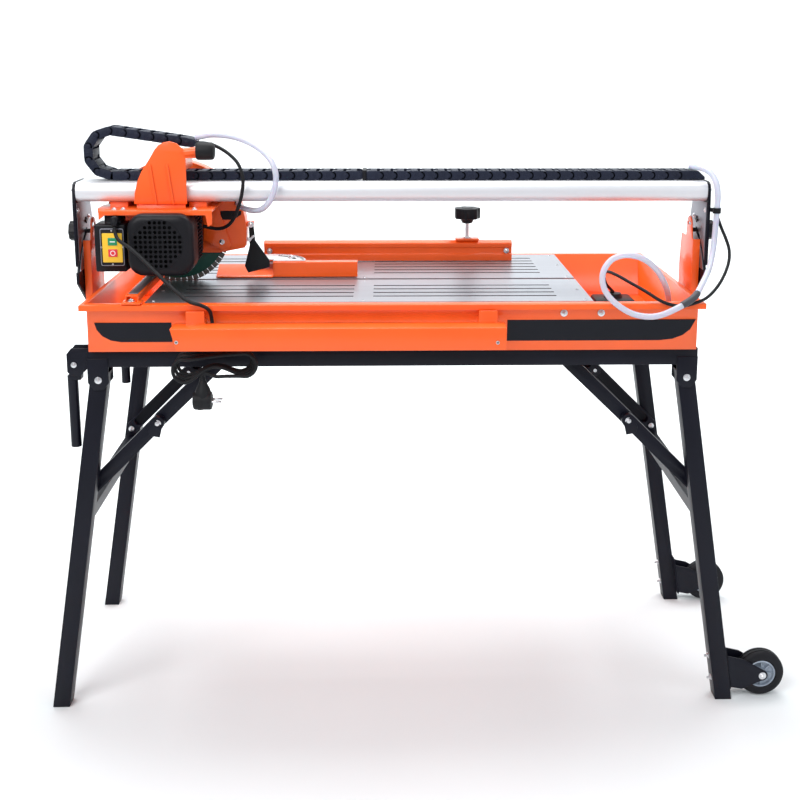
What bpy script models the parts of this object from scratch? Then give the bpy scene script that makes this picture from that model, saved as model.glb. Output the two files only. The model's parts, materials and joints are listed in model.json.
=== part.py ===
"""A rail tile cutter on a folding stand.

A water tray stands on a steel stand with two folding leg frames. An aluminium rail bridges the
tray and tilts about the line of the cut, and the motor and blade ride along it on a carriage.

Units are metres and +Z is up. Sizes are given in the machine's own frame, whose x = 0 is the
middle of the tray and whose floor is z = 0. The empty "machine" carries everything, and it puts
the middle of the footprint at the world's origin.
"""

from math import atan2, cos, pi, radians, sin, tan

import bmesh
import bpy
from mathutils import Matrix, Vector

# Where the middle of the tray stands from the middle of the footprint.
MACHINE_X = -0.0578
MACHINE_Y = 0.0270

GAP = 0.0004  # what two pieces that touch keep between them
WALL = 0.002  # sheet steel and tube walls

# The stand
TUBE = 0.035
BEAM_HALF = 0.614
BEAM_LOW = 0.748
BEAM_TOP = BEAM_LOW + TUBE
BEAM_Y = 0.2285
LEG_DEEP = 0.034
LEG_PIVOT_X = 0.593
LEG_PIVOT_Z = 0.722
LEG_SPLAY = radians(9.1)
CROSSBAR = 0.030
CROSSBAR_DOWN = 0.291
BRACE_FOOT_DOWN = 0.253
BRACE_TOP = (0.347, 0.754)
BRACE_KNEE = (0.487, 0.618)
BRACE_WIDE = 0.028
BRACE_THICK = 0.019
LOWER_BRACE_Y = 0.2010
UPPER_BRACE_Y = 0.1810
PIN = 0.005
WHEEL_X = 0.792
WHEEL_Y = 0.220
WHEEL_Z = 0.052
WHEEL_RADIUS = 0.050
WHEEL_WIDE = 0.030
HANDLE_X = 0.641
HANDLE_Z = 0.753
HANDLE_LOW = 0.5775

# The tray and the tables
TRAY_HALF_X = 0.605
TRAY_HALF_Y = 0.261
TRAY_LOW = 0.7848
RIM_Z = 0.883
RIM_HALF_X = 0.6128
RIM_HALF_Y = 0.290
TABLE_TOP = 0.885
TABLE_THICK = 0.0028
TABLE_LEFT = -0.490
TABLE_RIGHT = 0.395
TABLE_BACK = 0.266
CUT_Y = -0.035
MITRE_PIVOT = (-0.267, 0.0)
MITRE_SPLIT = -0.262  # left of this the fence is low
HOOKS = (-0.405, 0.165)
HOOK_WIDE = 0.036
SLOT_WIDE = 0.0075
SLOT_PITCH = 0.0357

# The bridge
TILT_Z = 0.885
RAIL_HALF = 0.644
RAIL_LOW = 1.068
RAIL_TOP = 1.108
RAIL_FRONT = -0.155
RAIL_BACK = -0.056
END_PLATE_THICK = 0.006
LOCK_Y = -0.087
LOCK_Z = 1.000
CHAIN_FRONT = -0.115
CHAIN_BACK = -0.057
CHAIN_HIGH = 0.0185
CHAIN_LOW = 1.109
LOOP_X = -0.580
LOOP_Z = 1.164
LOOP_RADIUS = 0.055
CHAIN_CLIP_X = -0.060

# The carriage
BLADE_X = -0.464
BLADE_Z = 0.994
BLADE_RADIUS = 0.115
BLADE_THICK = 0.0024
ARBOR = 0.0127
GUARD_RADIUS = 0.151
GUARD_FRONT = -0.0535
GUARD_BACK = -0.0120
FLAP_HINGE = (-0.3050, 1.0060)
FLAP_THICK = 0.007
BASE_TOP = 1.0575
BASE_LOW = 1.0535

# Cords
LEAD = 0.004
HOSE = 0.006
SMALL_CABLE = 0.0035

ORANGE = (0.90, 0.16, 0.03)
NIGHT = (0.018, 0.020, 0.032)
BLACK = (0.02, 0.02, 0.022)
STEEL = (0.55, 0.55, 0.57)
ALUMINIUM = (0.72, 0.73, 0.75)


# ---------------------------------------------------------------- scene and materials

def clear_scene():
    for obj in list(bpy.data.objects):
        bpy.data.objects.remove(obj)


def new_collection(name):
    collection = bpy.data.collections.new(name)
    bpy.context.scene.collection.children.link(collection)
    return collection


def material(name, colour, roughness=0.5, metallic=0.0, alpha=1.0):
    made = bpy.data.materials.new(name)
    made.use_nodes = True
    shader = made.node_tree.nodes["Principled BSDF"]
    shader.inputs["Base Color"].default_value = (*colour, 1.0)
    shader.inputs["Roughness"].default_value = roughness
    shader.inputs["Metallic"].default_value = metallic
    shader.inputs["Alpha"].default_value = alpha
    made.diffuse_color = (*colour, alpha)
    return made


clear_scene()
PARTS = new_collection("tile_cutter")
HELPERS = new_collection("cutters")
MACHINE = bpy.data.objects.new("machine", None)
MACHINE.location = (MACHINE_X, MACHINE_Y, 0)
PARTS.objects.link(MACHINE)


def put(name, mesh, look, pivot=(0, 0, 0)):
    """The mesh as a part of the machine, with its origin at the pivot."""
    mesh.transform(Matrix.Translation(-Vector(pivot)))
    obj = bpy.data.objects.new(name, mesh)
    obj.location = pivot
    obj.parent = MACHINE
    PARTS.objects.link(obj)
    mesh.materials.clear()
    mesh.materials.append(material(name, *look))
    mesh.set_sharp_from_angle(angle=radians(35))
    return obj


def combine(obj, mesh, operation):
    """Joins the mesh to the object, or cuts it away."""
    helper = bpy.data.objects.new(f"{obj.name}_{operation.lower()}", mesh)
    helper.parent = MACHINE
    helper.hide_render = True
    helper.display_type = "WIRE"
    HELPERS.objects.link(helper)
    modifier = obj.modifiers.new(helper.name, "BOOLEAN")
    modifier.object = helper
    modifier.operation = operation


def weld(obj, *meshes):
    for mesh in meshes:
        combine(obj, mesh, "UNION")


def cut(obj, *meshes):
    for mesh in meshes:
        combine(obj, mesh, "DIFFERENCE")


# ---------------------------------------------------------------- meshes

def mesh_of(shape, name="shape"):
    bmesh.ops.recalc_face_normals(shape, faces=shape.faces)
    mesh = bpy.data.meshes.new(name)
    shape.to_mesh(mesh)
    shape.free()
    return mesh


def box(low, high, radius=0.0, segments=2):
    """A box between two corners, with rounded edges if a radius is given."""
    low, high = Vector(low), Vector(high)
    shape = bmesh.new()
    bmesh.ops.create_cube(shape, size=1.0)
    size = Matrix.Diagonal((*(high - low), 1.0))
    bmesh.ops.transform(shape, matrix=Matrix.Translation((low + high) / 2) @ size, verts=shape.verts)
    if radius:
        bmesh.ops.bevel(shape, geom=shape.edges, offset=radius, segments=segments,
                        profile=0.5, affect="EDGES")
    return mesh_of(shape)


def boxes(corner_pairs):
    """Several boxes that stand clear of each other, as one mesh."""
    shape = bmesh.new()
    for low, high in corner_pairs:
        one = box(low, high)
        shape.from_mesh(one)
        bpy.data.meshes.remove(one)
    return mesh_of(shape)


def rod(start, end, radius, sides=16, end_radius=None):
    """A round bar, or a cone, between two points."""
    start, end = Vector(start), Vector(end)
    along = end - start
    shape = bmesh.new()
    bmesh.ops.create_cone(shape, cap_ends=True, segments=sides, radius1=radius,
                          radius2=radius if end_radius is None else end_radius,
                          depth=along.length)
    turn = along.to_track_quat("Z", "Y").to_matrix().to_4x4()
    middle = Matrix.Translation((start + end) / 2)
    bmesh.ops.transform(shape, matrix=middle @ turn, verts=shape.verts)
    return mesh_of(shape)


def mesh_from_curve(curve, matrix):
    """The curve as a mesh, its caps welded on, moved by the matrix."""
    obj = bpy.data.objects.new("curve", curve)
    bpy.context.scene.collection.objects.link(obj)
    graph = bpy.context.evaluated_depsgraph_get()
    mesh = bpy.data.meshes.new_from_object(obj.evaluated_get(graph))
    bpy.data.objects.remove(obj)
    bpy.data.curves.remove(curve)
    shape = bmesh.new()
    shape.from_mesh(mesh)
    bpy.data.meshes.remove(mesh)
    bmesh.ops.remove_doubles(shape, verts=shape.verts, dist=1e-6)
    bmesh.ops.transform(shape, matrix=matrix, verts=shape.verts)
    return mesh_of(shape)


# An outline drawn in x and z is thick along y, and one drawn in y and z is thick along x.
TO_XZ = Matrix(((1, 0, 0, 0), (0, 0, 1, 0), (0, 1, 0, 0), (0, 0, 0, 1)))
TO_YZ = Matrix(((0, 0, 1, 0), (1, 0, 0, 0), (0, 1, 0, 0), (0, 0, 0, 1)))
TO_XY = Matrix.Identity(4)


def plate(points, low, high, plane=TO_XZ):
    """A flat outline made thick from low to high, across its plane."""
    curve = bpy.data.curves.new("outline", "CURVE")
    curve.dimensions = "2D"
    curve.fill_mode = "BOTH"
    curve.extrude = (high - low) / 2
    line = curve.splines.new("POLY")
    line.points.add(len(points) - 1)
    for point, (a, b) in zip(line.points, points):
        point.co = (a, b, 0, 1)
    line.use_cyclic_u = True
    middle = Matrix.Translation((0, 0, (low + high) / 2))
    return mesh_from_curve(curve, plane @ middle)


def arc(centre, radius, start, end, steps):
    """Points on a circle, with the angles in degrees."""
    angles = [radians(start + (end - start) * i / steps) for i in range(steps + 1)]
    return [(centre[0] + radius * cos(a), centre[1] + radius * sin(a)) for a in angles]


def rounded(low, high, radius, steps=4):
    """The outline of a rectangle with round corners."""
    (a0, b0), (a1, b1) = low, high
    corners = (((a1 - radius, b1 - radius), 0), ((a0 + radius, b1 - radius), 90),
               ((a0 + radius, b0 + radius), 180), ((a1 - radius, b0 + radius), 270))
    return [p for centre, turn in corners for p in arc(centre, radius, turn, turn + 90, steps)]


def stadium(start, end, radius, steps=8):
    """The outline of a bar with round ends, between two centres."""
    turn = atan2(end[1] - start[1], end[0] - start[0]) * 180 / pi
    return (arc(end, radius, turn - 90, turn + 90, steps)
            + arc(start, radius, turn + 90, turn + 270, steps))


def turned(name, profile, look, centre, axis="Y", steps=32):
    """A turned piece: the profile holds (radius, place along the axis), from its far end back."""
    shape = bmesh.new()
    verts = [shape.verts.new((radius, 0, along)) for radius, along in profile]
    for a, b in zip(verts, verts[1:]):
        shape.edges.new((a, b))
    mesh = bpy.data.meshes.new(name)
    shape.to_mesh(mesh)
    shape.free()
    obj = bpy.data.objects.new(name, mesh)
    obj.parent = MACHINE
    obj.location = centre
    # The screw turns about local Z, which is laid along the axis wanted.
    turns = {"Y": (-pi / 2, 0, 0), "X": (0, pi / 2, 0), "Z": (0, 0, 0)}
    obj.rotation_euler = turns[axis]
    PARTS.objects.link(obj)
    mesh.materials.append(material(name, *look))
    screw = obj.modifiers.new("turn", "SCREW")
    screw.steps = steps
    screw.render_steps = steps
    screw.use_merge_vertices = True
    screw.merge_threshold = 1e-5
    screw.use_smooth_shade = True
    return obj


def smooth_route(points, spacing):
    """Points about this far apart on a smooth curve through the route's own points."""
    route = [Vector(p) for p in points]
    route = [2 * route[0] - route[1], *route, 2 * route[-1] - route[-2]]
    found = [route[1]]
    for before, a, b, after in zip(route, route[1:], route[2:], route[3:]):
        count = max(2, round((b - a).length / spacing))
        for i in range(1, count + 1):
            t = i / count
            curved = (2 * a + (b - before) * t + (2 * before - 5 * a + 4 * b - after) * t * t
                      + (3 * a - before - 3 * b + after) * t ** 3) / 2
            found.append(curved)
    return found


def cord(name, route, radius, colour, spacing=0.016, resolution=2):
    """A cord's tube along its route."""
    curve = bpy.data.curves.new(name, "CURVE")
    curve.dimensions = "3D"
    curve.bevel_depth = radius
    curve.bevel_resolution = resolution
    curve.use_fill_caps = True
    points = smooth_route(route, spacing)
    line = curve.splines.new("POLY")
    line.points.add(len(points) - 1)
    for point, place in zip(line.points, points):
        point.co = (*place, 1)
    curve.materials.append(material(name, colour, 0.5))
    obj = bpy.data.objects.new(name, curve)
    obj.parent = MACHINE
    PARTS.objects.link(obj)
    return obj


# ---------------------------------------------------------------- the stand

SPLAY_X = sin(LEG_SPLAY)
SPLAY_Z = -cos(LEG_SPLAY)


def on_leg(side, down, across=0.0):
    """The (x, z) of a point this far down a leg from its pivot, and this far outward."""
    x = LEG_PIVOT_X + down * SPLAY_X - across * SPLAY_Z
    z = LEG_PIVOT_Z + down * SPLAY_Z + across * SPLAY_X
    return (side * x, z)


def leg_outline(side, half_wide, above, low):
    """A leg's outline, cut level at its foot."""
    outline = []
    for across in (-half_wide, half_wide):
        x, z = on_leg(1, -above, across)
        foot = x + (z - low) * tan(LEG_SPLAY)
        ends = [(side * x, z), (side * foot, low)]
        outline += ends if across < 0 else ends[::-1]
    return outline


def beam(name, side):
    """A long beam, with the brackets of its legs and its handle, and the pins of its braces."""
    low_y = side * BEAM_Y - TUBE / 2
    high_y = side * BEAM_Y + TUBE / 2
    obj = put(name, box((-BEAM_HALF, low_y, BEAM_LOW), (BEAM_HALF, high_y, BEAM_TOP)),
              (NIGHT, 0.45))
    cut(obj, box((-BEAM_HALF - 0.01, low_y + WALL, BEAM_LOW + WALL),
                 (BEAM_HALF + 0.01, high_y - WALL, BEAM_TOP - WALL)))
    for face in (-1, 1):
        inner = side * BEAM_Y + face * (LEG_DEEP / 2 + 0.0003)
        outer = inner + face * 0.0036
        low, high = min(inner, outer), max(inner, outer)
        for end in (-1, 1):
            middle = end * LEG_PIVOT_X
            cheek = [(middle - 0.021, 0.766), (middle - 0.021, 0.716), (middle - 0.009, 0.701),
                     (middle + 0.009, 0.701), (middle + 0.021, 0.716), (middle + 0.021, 0.766)]
            weld(obj, plate(cheek, low, high))
    for face in (-1, 1):
        near = side * BEAM_Y + face * 0.0138
        far = side * BEAM_Y + face * 0.0168
        ear = [(-0.610, 0.787), (-0.645, 0.787), (-0.655, 0.775), (-0.655, 0.738),
               (-0.648, 0.730), (-0.628, 0.730), (-0.610, 0.752)]
        weld(obj, plate(ear, min(near, far), max(near, far)))
    weld(obj, rod((-HANDLE_X, side * BEAM_Y - 0.0155, HANDLE_Z),
                  (-HANDLE_X, side * BEAM_Y + 0.0155, HANDLE_Z), 0.0040, 12))
    inside = side * (BEAM_Y - TUBE / 2 + 0.001)
    beyond = side * (UPPER_BRACE_Y - BRACE_THICK / 2 - 0.002)
    for end in (-1, 1):
        x, z = end * BRACE_TOP[0], BRACE_TOP[1]
        weld(obj, rod((x, inside, z), (x, beyond, z), PIN, 12))
    return obj


def cross_beam(name, side):
    """Joins the two long beams at one end."""
    x = side * (BEAM_HALF - TUBE)
    half = BEAM_Y - TUBE / 2 - 0.004
    low = (min(x, side * BEAM_HALF), -half, BEAM_LOW)
    high = (max(x, side * BEAM_HALF), half, BEAM_TOP)
    obj = put(name, box(low, high), (NIGHT, 0.45))
    cut(obj, box((low[0] + WALL, -half - 0.01, BEAM_LOW + WALL),
                 (high[0] - WALL, half + 0.01, BEAM_TOP - WALL)))
    return obj


def fork(side_y):
    """The wheel's fork: a foot plate on the leg and two cheeks."""
    foot = [on_leg(1, 0.617, 0.0170), on_leg(1, 0.617, 0.0206),
            on_leg(1, 0.712, 0.0206), on_leg(1, 0.712, 0.0170)]
    low, high = side_y * WHEEL_Y - 0.0215, side_y * WHEEL_Y + 0.0215
    meshes = [plate(foot, low, high)]
    top = on_leg(1, 0.634, 0.019)
    bottom = on_leg(1, 0.708, 0.019)
    tip = arc((WHEEL_X, WHEEL_Z), 0.0120, -95, 62, 8)
    cheek = [bottom, (0.749, 0.021), *tip, (0.7500, 0.0900), top]
    for face in (-1, 1):
        near = side_y * WHEEL_Y + face * 0.0180
        far = side_y * WHEEL_Y + face * 0.0212
        meshes.append(plate(cheek, min(near, far), max(near, far)))
    return meshes


def leg_frame(name, side):
    """Two legs and their crossbar, which fold as one; the right frame carries the wheel forks."""
    pivot = (side * LEG_PIVOT_X, 0, LEG_PIVOT_Z)
    outline = leg_outline(side, TUBE / 2, 0.016, 0.0)
    hollow = leg_outline(side, TUBE / 2 - WALL, 0.05, -0.03)
    low, high = -BEAM_Y - LEG_DEEP / 2, -BEAM_Y + LEG_DEEP / 2
    obj = put(name, plate(outline, low, high), (NIGHT, 0.45), pivot)
    weld(obj, plate(outline, -high, -low))
    cut(obj, plate(hollow, low + WALL, high - WALL), plate(hollow, -high + WALL, -low - WALL))
    inner = -TUBE / 2
    bar = [on_leg(side, CROSSBAR_DOWN - CROSSBAR / 2, inner),
           on_leg(side, CROSSBAR_DOWN - CROSSBAR / 2, inner + CROSSBAR),
           on_leg(side, CROSSBAR_DOWN + CROSSBAR / 2, inner + CROSSBAR),
           on_leg(side, CROSSBAR_DOWN + CROSSBAR / 2, inner)]
    weld(obj, plate(bar, high - 0.001, -high + 0.001))
    x, z = on_leg(side, BRACE_FOOT_DOWN)
    for end in (-1, 1):
        beyond = end * (LOWER_BRACE_Y - BRACE_THICK / 2 - 0.002)
        inside = end * (BEAM_Y - LEG_DEEP / 2 + 0.001)
        weld(obj, rod((x, inside, z), (x, beyond, z), PIN, 12))
    if side > 0:
        for end in (-1, 1):
            weld(obj, *fork(end))
    return obj


def brace(name, start, end, middle_y, open_side):
    """A brace link: a channel with round ends and a hole at the end that is pinned."""
    half = BRACE_WIDE / 2
    low, high = middle_y - BRACE_THICK / 2, middle_y + BRACE_THICK / 2
    pivot = (start[0], middle_y, start[1])
    obj = put(name, plate(stadium(start, end, half), low, high), (NIGHT, 0.5), pivot)
    along = Vector((end[0] - start[0], end[1] - start[1])).normalized()
    a = Vector(start) + along * 0.026
    b = Vector(end) - along * 0.026
    hollow = stadium(a, b, half - 0.003, 6)
    if open_side > 0:
        cut(obj, plate(hollow, low + 0.003, high + 0.01))
    else:
        cut(obj, plate(hollow, low - 0.01, high - 0.003))
    cut(obj, rod((start[0], low - 0.01, start[1]), (start[0], high + 0.01, start[1]),
                 PIN + 0.0006, 12))
    return obj


def braces(side_name, side):
    """The four links that hold one leg frame: a lower and an upper one at the front and back."""
    foot = on_leg(side, BRACE_FOOT_DOWN)
    knee = (side * BRACE_KNEE[0], BRACE_KNEE[1])
    top = (side * BRACE_TOP[0], BRACE_TOP[1])
    for end_name, end in (("front", -1), ("back", 1)):
        brace(f"{side_name}_{end_name}_lower_brace", foot, knee, end * LOWER_BRACE_Y, -end)
        brace(f"{side_name}_{end_name}_upper_brace", top, knee, end * UPPER_BRACE_Y, -end)


def wheel(name, side):
    """A solid-tyred wheel with a dished hub."""
    half = WHEEL_WIDE / 2
    profile = [(0.0, half - 0.002), (0.012, half - 0.002), (0.014, half - 0.009),
               (0.026, half - 0.009), (0.030, half - 0.001), (0.034, half),
               (WHEEL_RADIUS - 0.005, half), (WHEEL_RADIUS - 0.001, half - 0.004),
               (WHEEL_RADIUS, half - 0.008)]
    profile += [(r, -z) for r, z in reversed(profile)]
    return turned(name, profile, (BLACK, 0.7), (WHEEL_X, side * WHEEL_Y, WHEEL_Z), "Y", 28)


def handle(name, side):
    """A carrying handle that hangs from the left end of the stand and swings outward."""
    y = side * BEAM_Y
    obj = put(name, rod((-0.649, y, HANDLE_LOW), (-0.649, y, 0.728), 0.0105, 16),
              (NIGHT, 0.4), (-HANDLE_X, y, HANDLE_Z))
    eye = [(-0.6535, 0.720), (-0.630, 0.720), *arc((-HANDLE_X, HANDLE_Z), 0.0115, 0, 180, 8)]
    weld(obj, plate(eye, y - 0.012, y + 0.012))
    cut(obj, rod((-HANDLE_X, y - 0.02, HANDLE_Z), (-HANDLE_X, y + 0.02, HANDLE_Z), 0.0046, 12))
    return obj


# ---------------------------------------------------------------- the tray and the tables

def tray():
    """A folded sheet tray: leaning front and back walls, a turned-down rim and three ribs."""
    shape = bmesh.new()
    bmesh.ops.create_cube(shape, size=2.0)
    for vert in shape.verts:
        x, y, z = vert.co
        if z < 0:
            vert.co = (x * TRAY_HALF_X, y * TRAY_HALF_Y, TRAY_LOW)
        else:
            vert.co = (x * (TRAY_HALF_X - 0.003), y * (TRAY_HALF_Y + 0.011), RIM_Z)
    top = max(shape.faces, key=lambda face: face.calc_center_median().z)
    rim = list(top.edges)
    bmesh.ops.delete(shape, geom=[top], context="FACES_ONLY")
    for x_half, y_half, z in ((RIM_HALF_X, RIM_HALF_Y, RIM_Z), (RIM_HALF_X, RIM_HALF_Y, RIM_Z - 0.010)):
        made = bmesh.ops.extrude_edge_only(shape, edges=rim)["geom"]
        rim = [part for part in made if isinstance(part, bmesh.types.BMEdge) and part.is_boundary]
        for vert in {vert for edge in rim for vert in edge.verts}:
            x, y = vert.co.x, vert.co.y
            vert.co = (x_half if x > 0 else -x_half, y_half if y > 0 else -y_half, z)
    obj = put("tray", mesh_of(shape), (ORANGE, 0.4))
    shell = obj.modifiers.new("sheet", "SOLIDIFY")
    shell.thickness = 0.0018
    shell.offset = 0
    shell.use_even_offset = True
    for x in (-0.475, -0.062, 0.380):
        rib = [(-0.2615, TRAY_LOW - 0.0003), (0.2615, TRAY_LOW - 0.0003), (0.2615, 0.8815),
               (-0.005, 0.8815), (-0.005, 0.866), (-0.065, 0.866), (-0.065, 0.8815),
               (-0.2615, 0.8815)]
        weld(obj, plate(rib, x - 0.002, x + 0.002, TO_YZ))
    for x in HOOKS:
        weld(obj, box((x, -0.2940, 0.8440), (x + HOOK_WIDE, -0.2680, 0.8560)))
    return obj


def table(name, front, back, rows):
    """One half of the slotted table; each row is two slots, with a plain band between them."""
    low = TABLE_TOP - TABLE_THICK
    obj = put(name, box((TABLE_LEFT, front, low), (TABLE_RIGHT, back, TABLE_TOP)),
              (ALUMINIUM, 0.35, 0.9))
    slots = []
    for y in rows:
        for start, end in ((TABLE_LEFT + 0.060, -0.082), (-0.042, 0.329)):
            slots.append(((start, y - SLOT_WIDE / 2, low - 0.01),
                          (end, y + SLOT_WIDE / 2, TABLE_TOP + 0.01)))
    cut(obj, boxes(slots))
    return obj


def tables():
    front_rows = [CUT_Y - 0.071 - i * SLOT_PITCH for i in range(4)]
    back_rows = [CUT_Y + 0.070 + i * SLOT_PITCH for i in range(6)]
    table("table_front_plate", -TABLE_BACK, CUT_Y - 0.0065, front_rows)
    table("table_back_plate", CUT_Y + 0.0065, TABLE_BACK, back_rows)


def post(name, side):
    """A folded upright that carries the bridge's pivot, with a tongue for the lock's stud."""
    near, far = side * 0.6270, side * 0.6420
    low, high = min(near, far), max(near, far)
    inner = near + side * 0.0030
    web_low, web_high = min(near, inner), max(near, inner)
    web = [(-0.1230, 0.800), (-0.020, 0.800), (-0.020, 0.930), (-0.030, 0.985), (-0.066, 0.985),
           *arc((LOCK_Y, 1.012), 0.018, -10, 190, 8), (-0.112, 0.985), (-0.1230, 0.985)]
    obj = put(name, plate(web, web_low, web_high, TO_YZ), (ORANGE, 0.4))
    weld(obj, box((low, -0.1230, 0.800), (high, -0.1195, 0.985)),
         box((low, -0.0235, 0.800), (high, -0.0200, 0.930)))
    cut(obj, box((web_low - 0.01, -0.1000, 1.0110), (web_high + 0.01, -0.0740, 1.0170)))
    head = side * (RAIL_HALF + GAP + END_PLATE_THICK + 0.0005)
    weld(obj, rod((side * 0.6285, CUT_Y, TILT_Z), (head, CUT_Y, TILT_Z), 0.0072, 16),
         rod((head - side * 0.0001, CUT_Y, TILT_Z), (head + side * 0.0040, CUT_Y, TILT_Z), 0.0120, 16))
    return obj


def back_guide():
    """The back rule: a folded channel that the tile and the stop bear on."""
    section = [(0.1750, 0.8865), (0.1905, 0.8865), (0.1905, 0.9340), (0.1820, 0.9340),
               (0.1750, 0.9280), (0.1750, 0.9190), (0.1775, 0.9170), (0.1775, 0.9040),
               (0.1750, 0.9020)]
    return put("back_guide_rail", plate(section, -0.301, 0.281, TO_YZ), (ORANGE, 0.4))


def end_guide():
    """The rest at the left end of the table, which runs back from the front rim."""
    obj = put("left_end_guide", box((-0.531, -0.2925, 0.8862), (-0.493, -0.2560, 0.8892)),
              (ORANGE, 0.4))
    weld(obj, box((-0.5270, -0.2700, 0.8868), (-0.5010, -0.0430, 0.9000)))
    cut(obj, box((-0.5240, -0.2800, 0.8700), (-0.5040, -0.0300, 0.8970)))
    return obj


def guide_stop():
    """The stop's clamp, which slides along the back rule, and its lobed knob."""
    x, y = 0.1755, 0.1840
    obj = put("guide_stop", box((0.148, 0.1710, 0.9350), (0.203, 0.1980, 0.9390)), (ORANGE, 0.4),
              (x, y, 0.9350))
    weld(obj, box((0.152, 0.1910, 0.9000), (0.199, 0.1945, 0.9360)),
         rod((x, y, 0.9380), (x, y, 0.9745), 0.004, 12))
    lobes = 7
    outline = []
    for i in range(lobes * 6):
        turn = 2 * pi * i / (lobes * 6)
        radius = 0.0290 + 0.0020 * cos(lobes * turn)
        outline.append((x + radius * cos(turn), y + radius * sin(turn)))
    knob = put("guide_stop_knob", plate(outline, 0.986, 1.011, TO_XY), (BLACK, 0.4), (x, y, 0.975))
    weld(knob, rod((x, y, 0.9750), (x, y, 0.9870), 0.012, 16, 0.017))


def mitre_fence():
    """The mitre fence, which turns on the table about the middle of its protractor.

    Its left end is low, so that the tilted blade and the splash flap pass over it.
    """
    x, y = MITRE_PIVOT
    section = [(-0.0165, 0.8865), (-0.0135, 0.8865), (-0.0135, 0.9165), (0.0100, 0.9165),
               (0.0100, 0.9190), (-0.0165, 0.9190)]
    obj = put("mitre_fence", plate(section, MITRE_SPLIT, -0.078, TO_YZ), (ORANGE, 0.45),
              (x, y, TABLE_TOP))
    nose = [(-0.0240, 0.8865), (0.0300, 0.8865), (0.0300, 0.9070), (-0.0240, 0.8890)]
    weld(obj, plate(nose, -0.385, MITRE_SPLIT + 0.0005, TO_YZ),
         box((MITRE_SPLIT, -0.0150, 0.8865), (-0.080, 0.0300, 0.8895)),
         box((MITRE_SPLIT + 0.002, 0.0050, 0.8880), (-0.205, 0.0080, 0.9170)))
    rim = arc((x, y), 0.075, 0, 125, 14)
    disc = [(MITRE_SPLIT, -0.0060), (x + 0.075, -0.0060), *rim, (rim[-1][0], 0.0090),
            (MITRE_SPLIT, 0.0090)]
    put("protractor", plate(disc, 0.9194, 0.9212, TO_XY), (STEEL, 0.35, 1.0), (x, y, TABLE_TOP))


def pump():
    """The water pump, standing in the tray."""
    obj = put("pump", box((0.455, 0.020, 0.7862), (0.545, 0.095, 0.8230), 0.006, 2), (BLACK, 0.5))
    weld(obj, rod((0.500, 0.0575, 0.8220), (0.500, 0.0575, 0.8330), 0.022, 16, 0.018))
    return obj


def side_table():
    """The side table that hangs from the front rim by two hooks."""
    front, back = -0.3450, -0.2960
    left, right = -0.4300, 0.2150
    obj = put("side_table", box((left, front, 0.8060), (right, back, 0.8500)), (ORANGE, 0.4))
    cut(obj, box((left + 0.02, front + 0.0025, 0.7900), (right - 0.0025, back + 0.02, 0.8475)),
        plate([(left - 0.01, 0.8510), (left + 0.001, 0.8510), (left + 0.013, 0.8050),
               (left - 0.01, 0.8050)], front - 0.01, back + 0.01))
    weld(obj, box((left + 0.0135, front + 0.001, 0.8062), (left + 0.0205, back, 0.8490)))
    for x in HOOKS:
        weld(obj, box((x, -0.3000, 0.8300), (x + HOOK_WIDE, -0.2965, 0.8735)),
             box((x, -0.2985, 0.8565), (x + HOOK_WIDE, -0.2800, 0.8600)))
    return obj


# ---------------------------------------------------------------- the bridge

def guide_rail():
    """The aluminium rail: a rounded box section, open at its ends."""
    low, high = (RAIL_FRONT, RAIL_LOW), (RAIL_BACK, RAIL_TOP)
    obj = put("guide_rail", plate(rounded(low, high, 0.017, 5), -RAIL_HALF, RAIL_HALF, TO_YZ),
              (ALUMINIUM, 0.3, 1.0))
    inner_low = (RAIL_FRONT + 0.003, RAIL_LOW + 0.003)
    inner_high = (RAIL_BACK - 0.003, RAIL_TOP - 0.003)
    cut(obj, plate(rounded(inner_low, inner_high, 0.014, 3), -RAIL_HALF - 0.01, RAIL_HALF + 0.01,
                   TO_YZ))
    return obj


def end_plate(name, side):
    """The tilting end of the bridge, with an arc slot about the pivot for the lock's stud."""
    near = side * (RAIL_HALF + GAP)
    far = near + side * END_PLATE_THICK
    low, high = min(near, far), max(near, far)
    outline = [(-0.060, 0.826), (-0.008, 0.826), (0.000, 0.834), (0.000, 0.925), (-0.050, 1.090),
               (-0.062, 1.105), (-0.073, 1.1085), (-0.138, 1.1085), (-0.150, 1.104), (-0.155, 1.092),
               (-0.157, 1.060), (-0.157, 0.900)]
    obj = put(name, plate(outline, low, high, TO_YZ), (BLACK, 0.5), (near, CUT_Y, TILT_Z))
    reach = Vector((LOCK_Y - CUT_Y, LOCK_Z - TILT_Z))
    start = atan2(reach.y, reach.x) * 180 / pi
    radius = reach.length
    centre = (CUT_Y, TILT_Z)
    slot = (arc(centre, radius + 0.006, start - 3, start + 48, 8)
            + arc(centre, radius - 0.006, start + 48, start - 3, 8))
    cut(obj, plate(slot, low - 0.01, high + 0.01, TO_YZ),
        rod((low - 0.01, CUT_Y, TILT_Z), (high + 0.01, CUT_Y, TILT_Z), 0.0080, 16))
    return obj


def lock_knob(name, side):
    """A lobed knob on a stud through the arc slot; it clamps the bridge at its tilt."""
    x = side * 0.6560
    lobes = 8
    outline = []
    for i in range(lobes * 4):
        turn = 2 * pi * i / (lobes * 4)
        radius = 0.0200 + 0.0012 * cos(lobes * turn)
        outline.append((LOCK_Y + radius * cos(turn), LOCK_Z + radius * sin(turn)))
    far = x + side * 0.020
    obj = put(name, plate(outline, min(x, far), max(x, far), TO_YZ), (BLACK, 0.45),
              (x, LOCK_Y, LOCK_Z))
    weld(obj, rod((side * 0.6304, LOCK_Y, LOCK_Z), (side * 0.6570, LOCK_Y, LOCK_Z), 0.0045, 12))
    return obj


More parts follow.
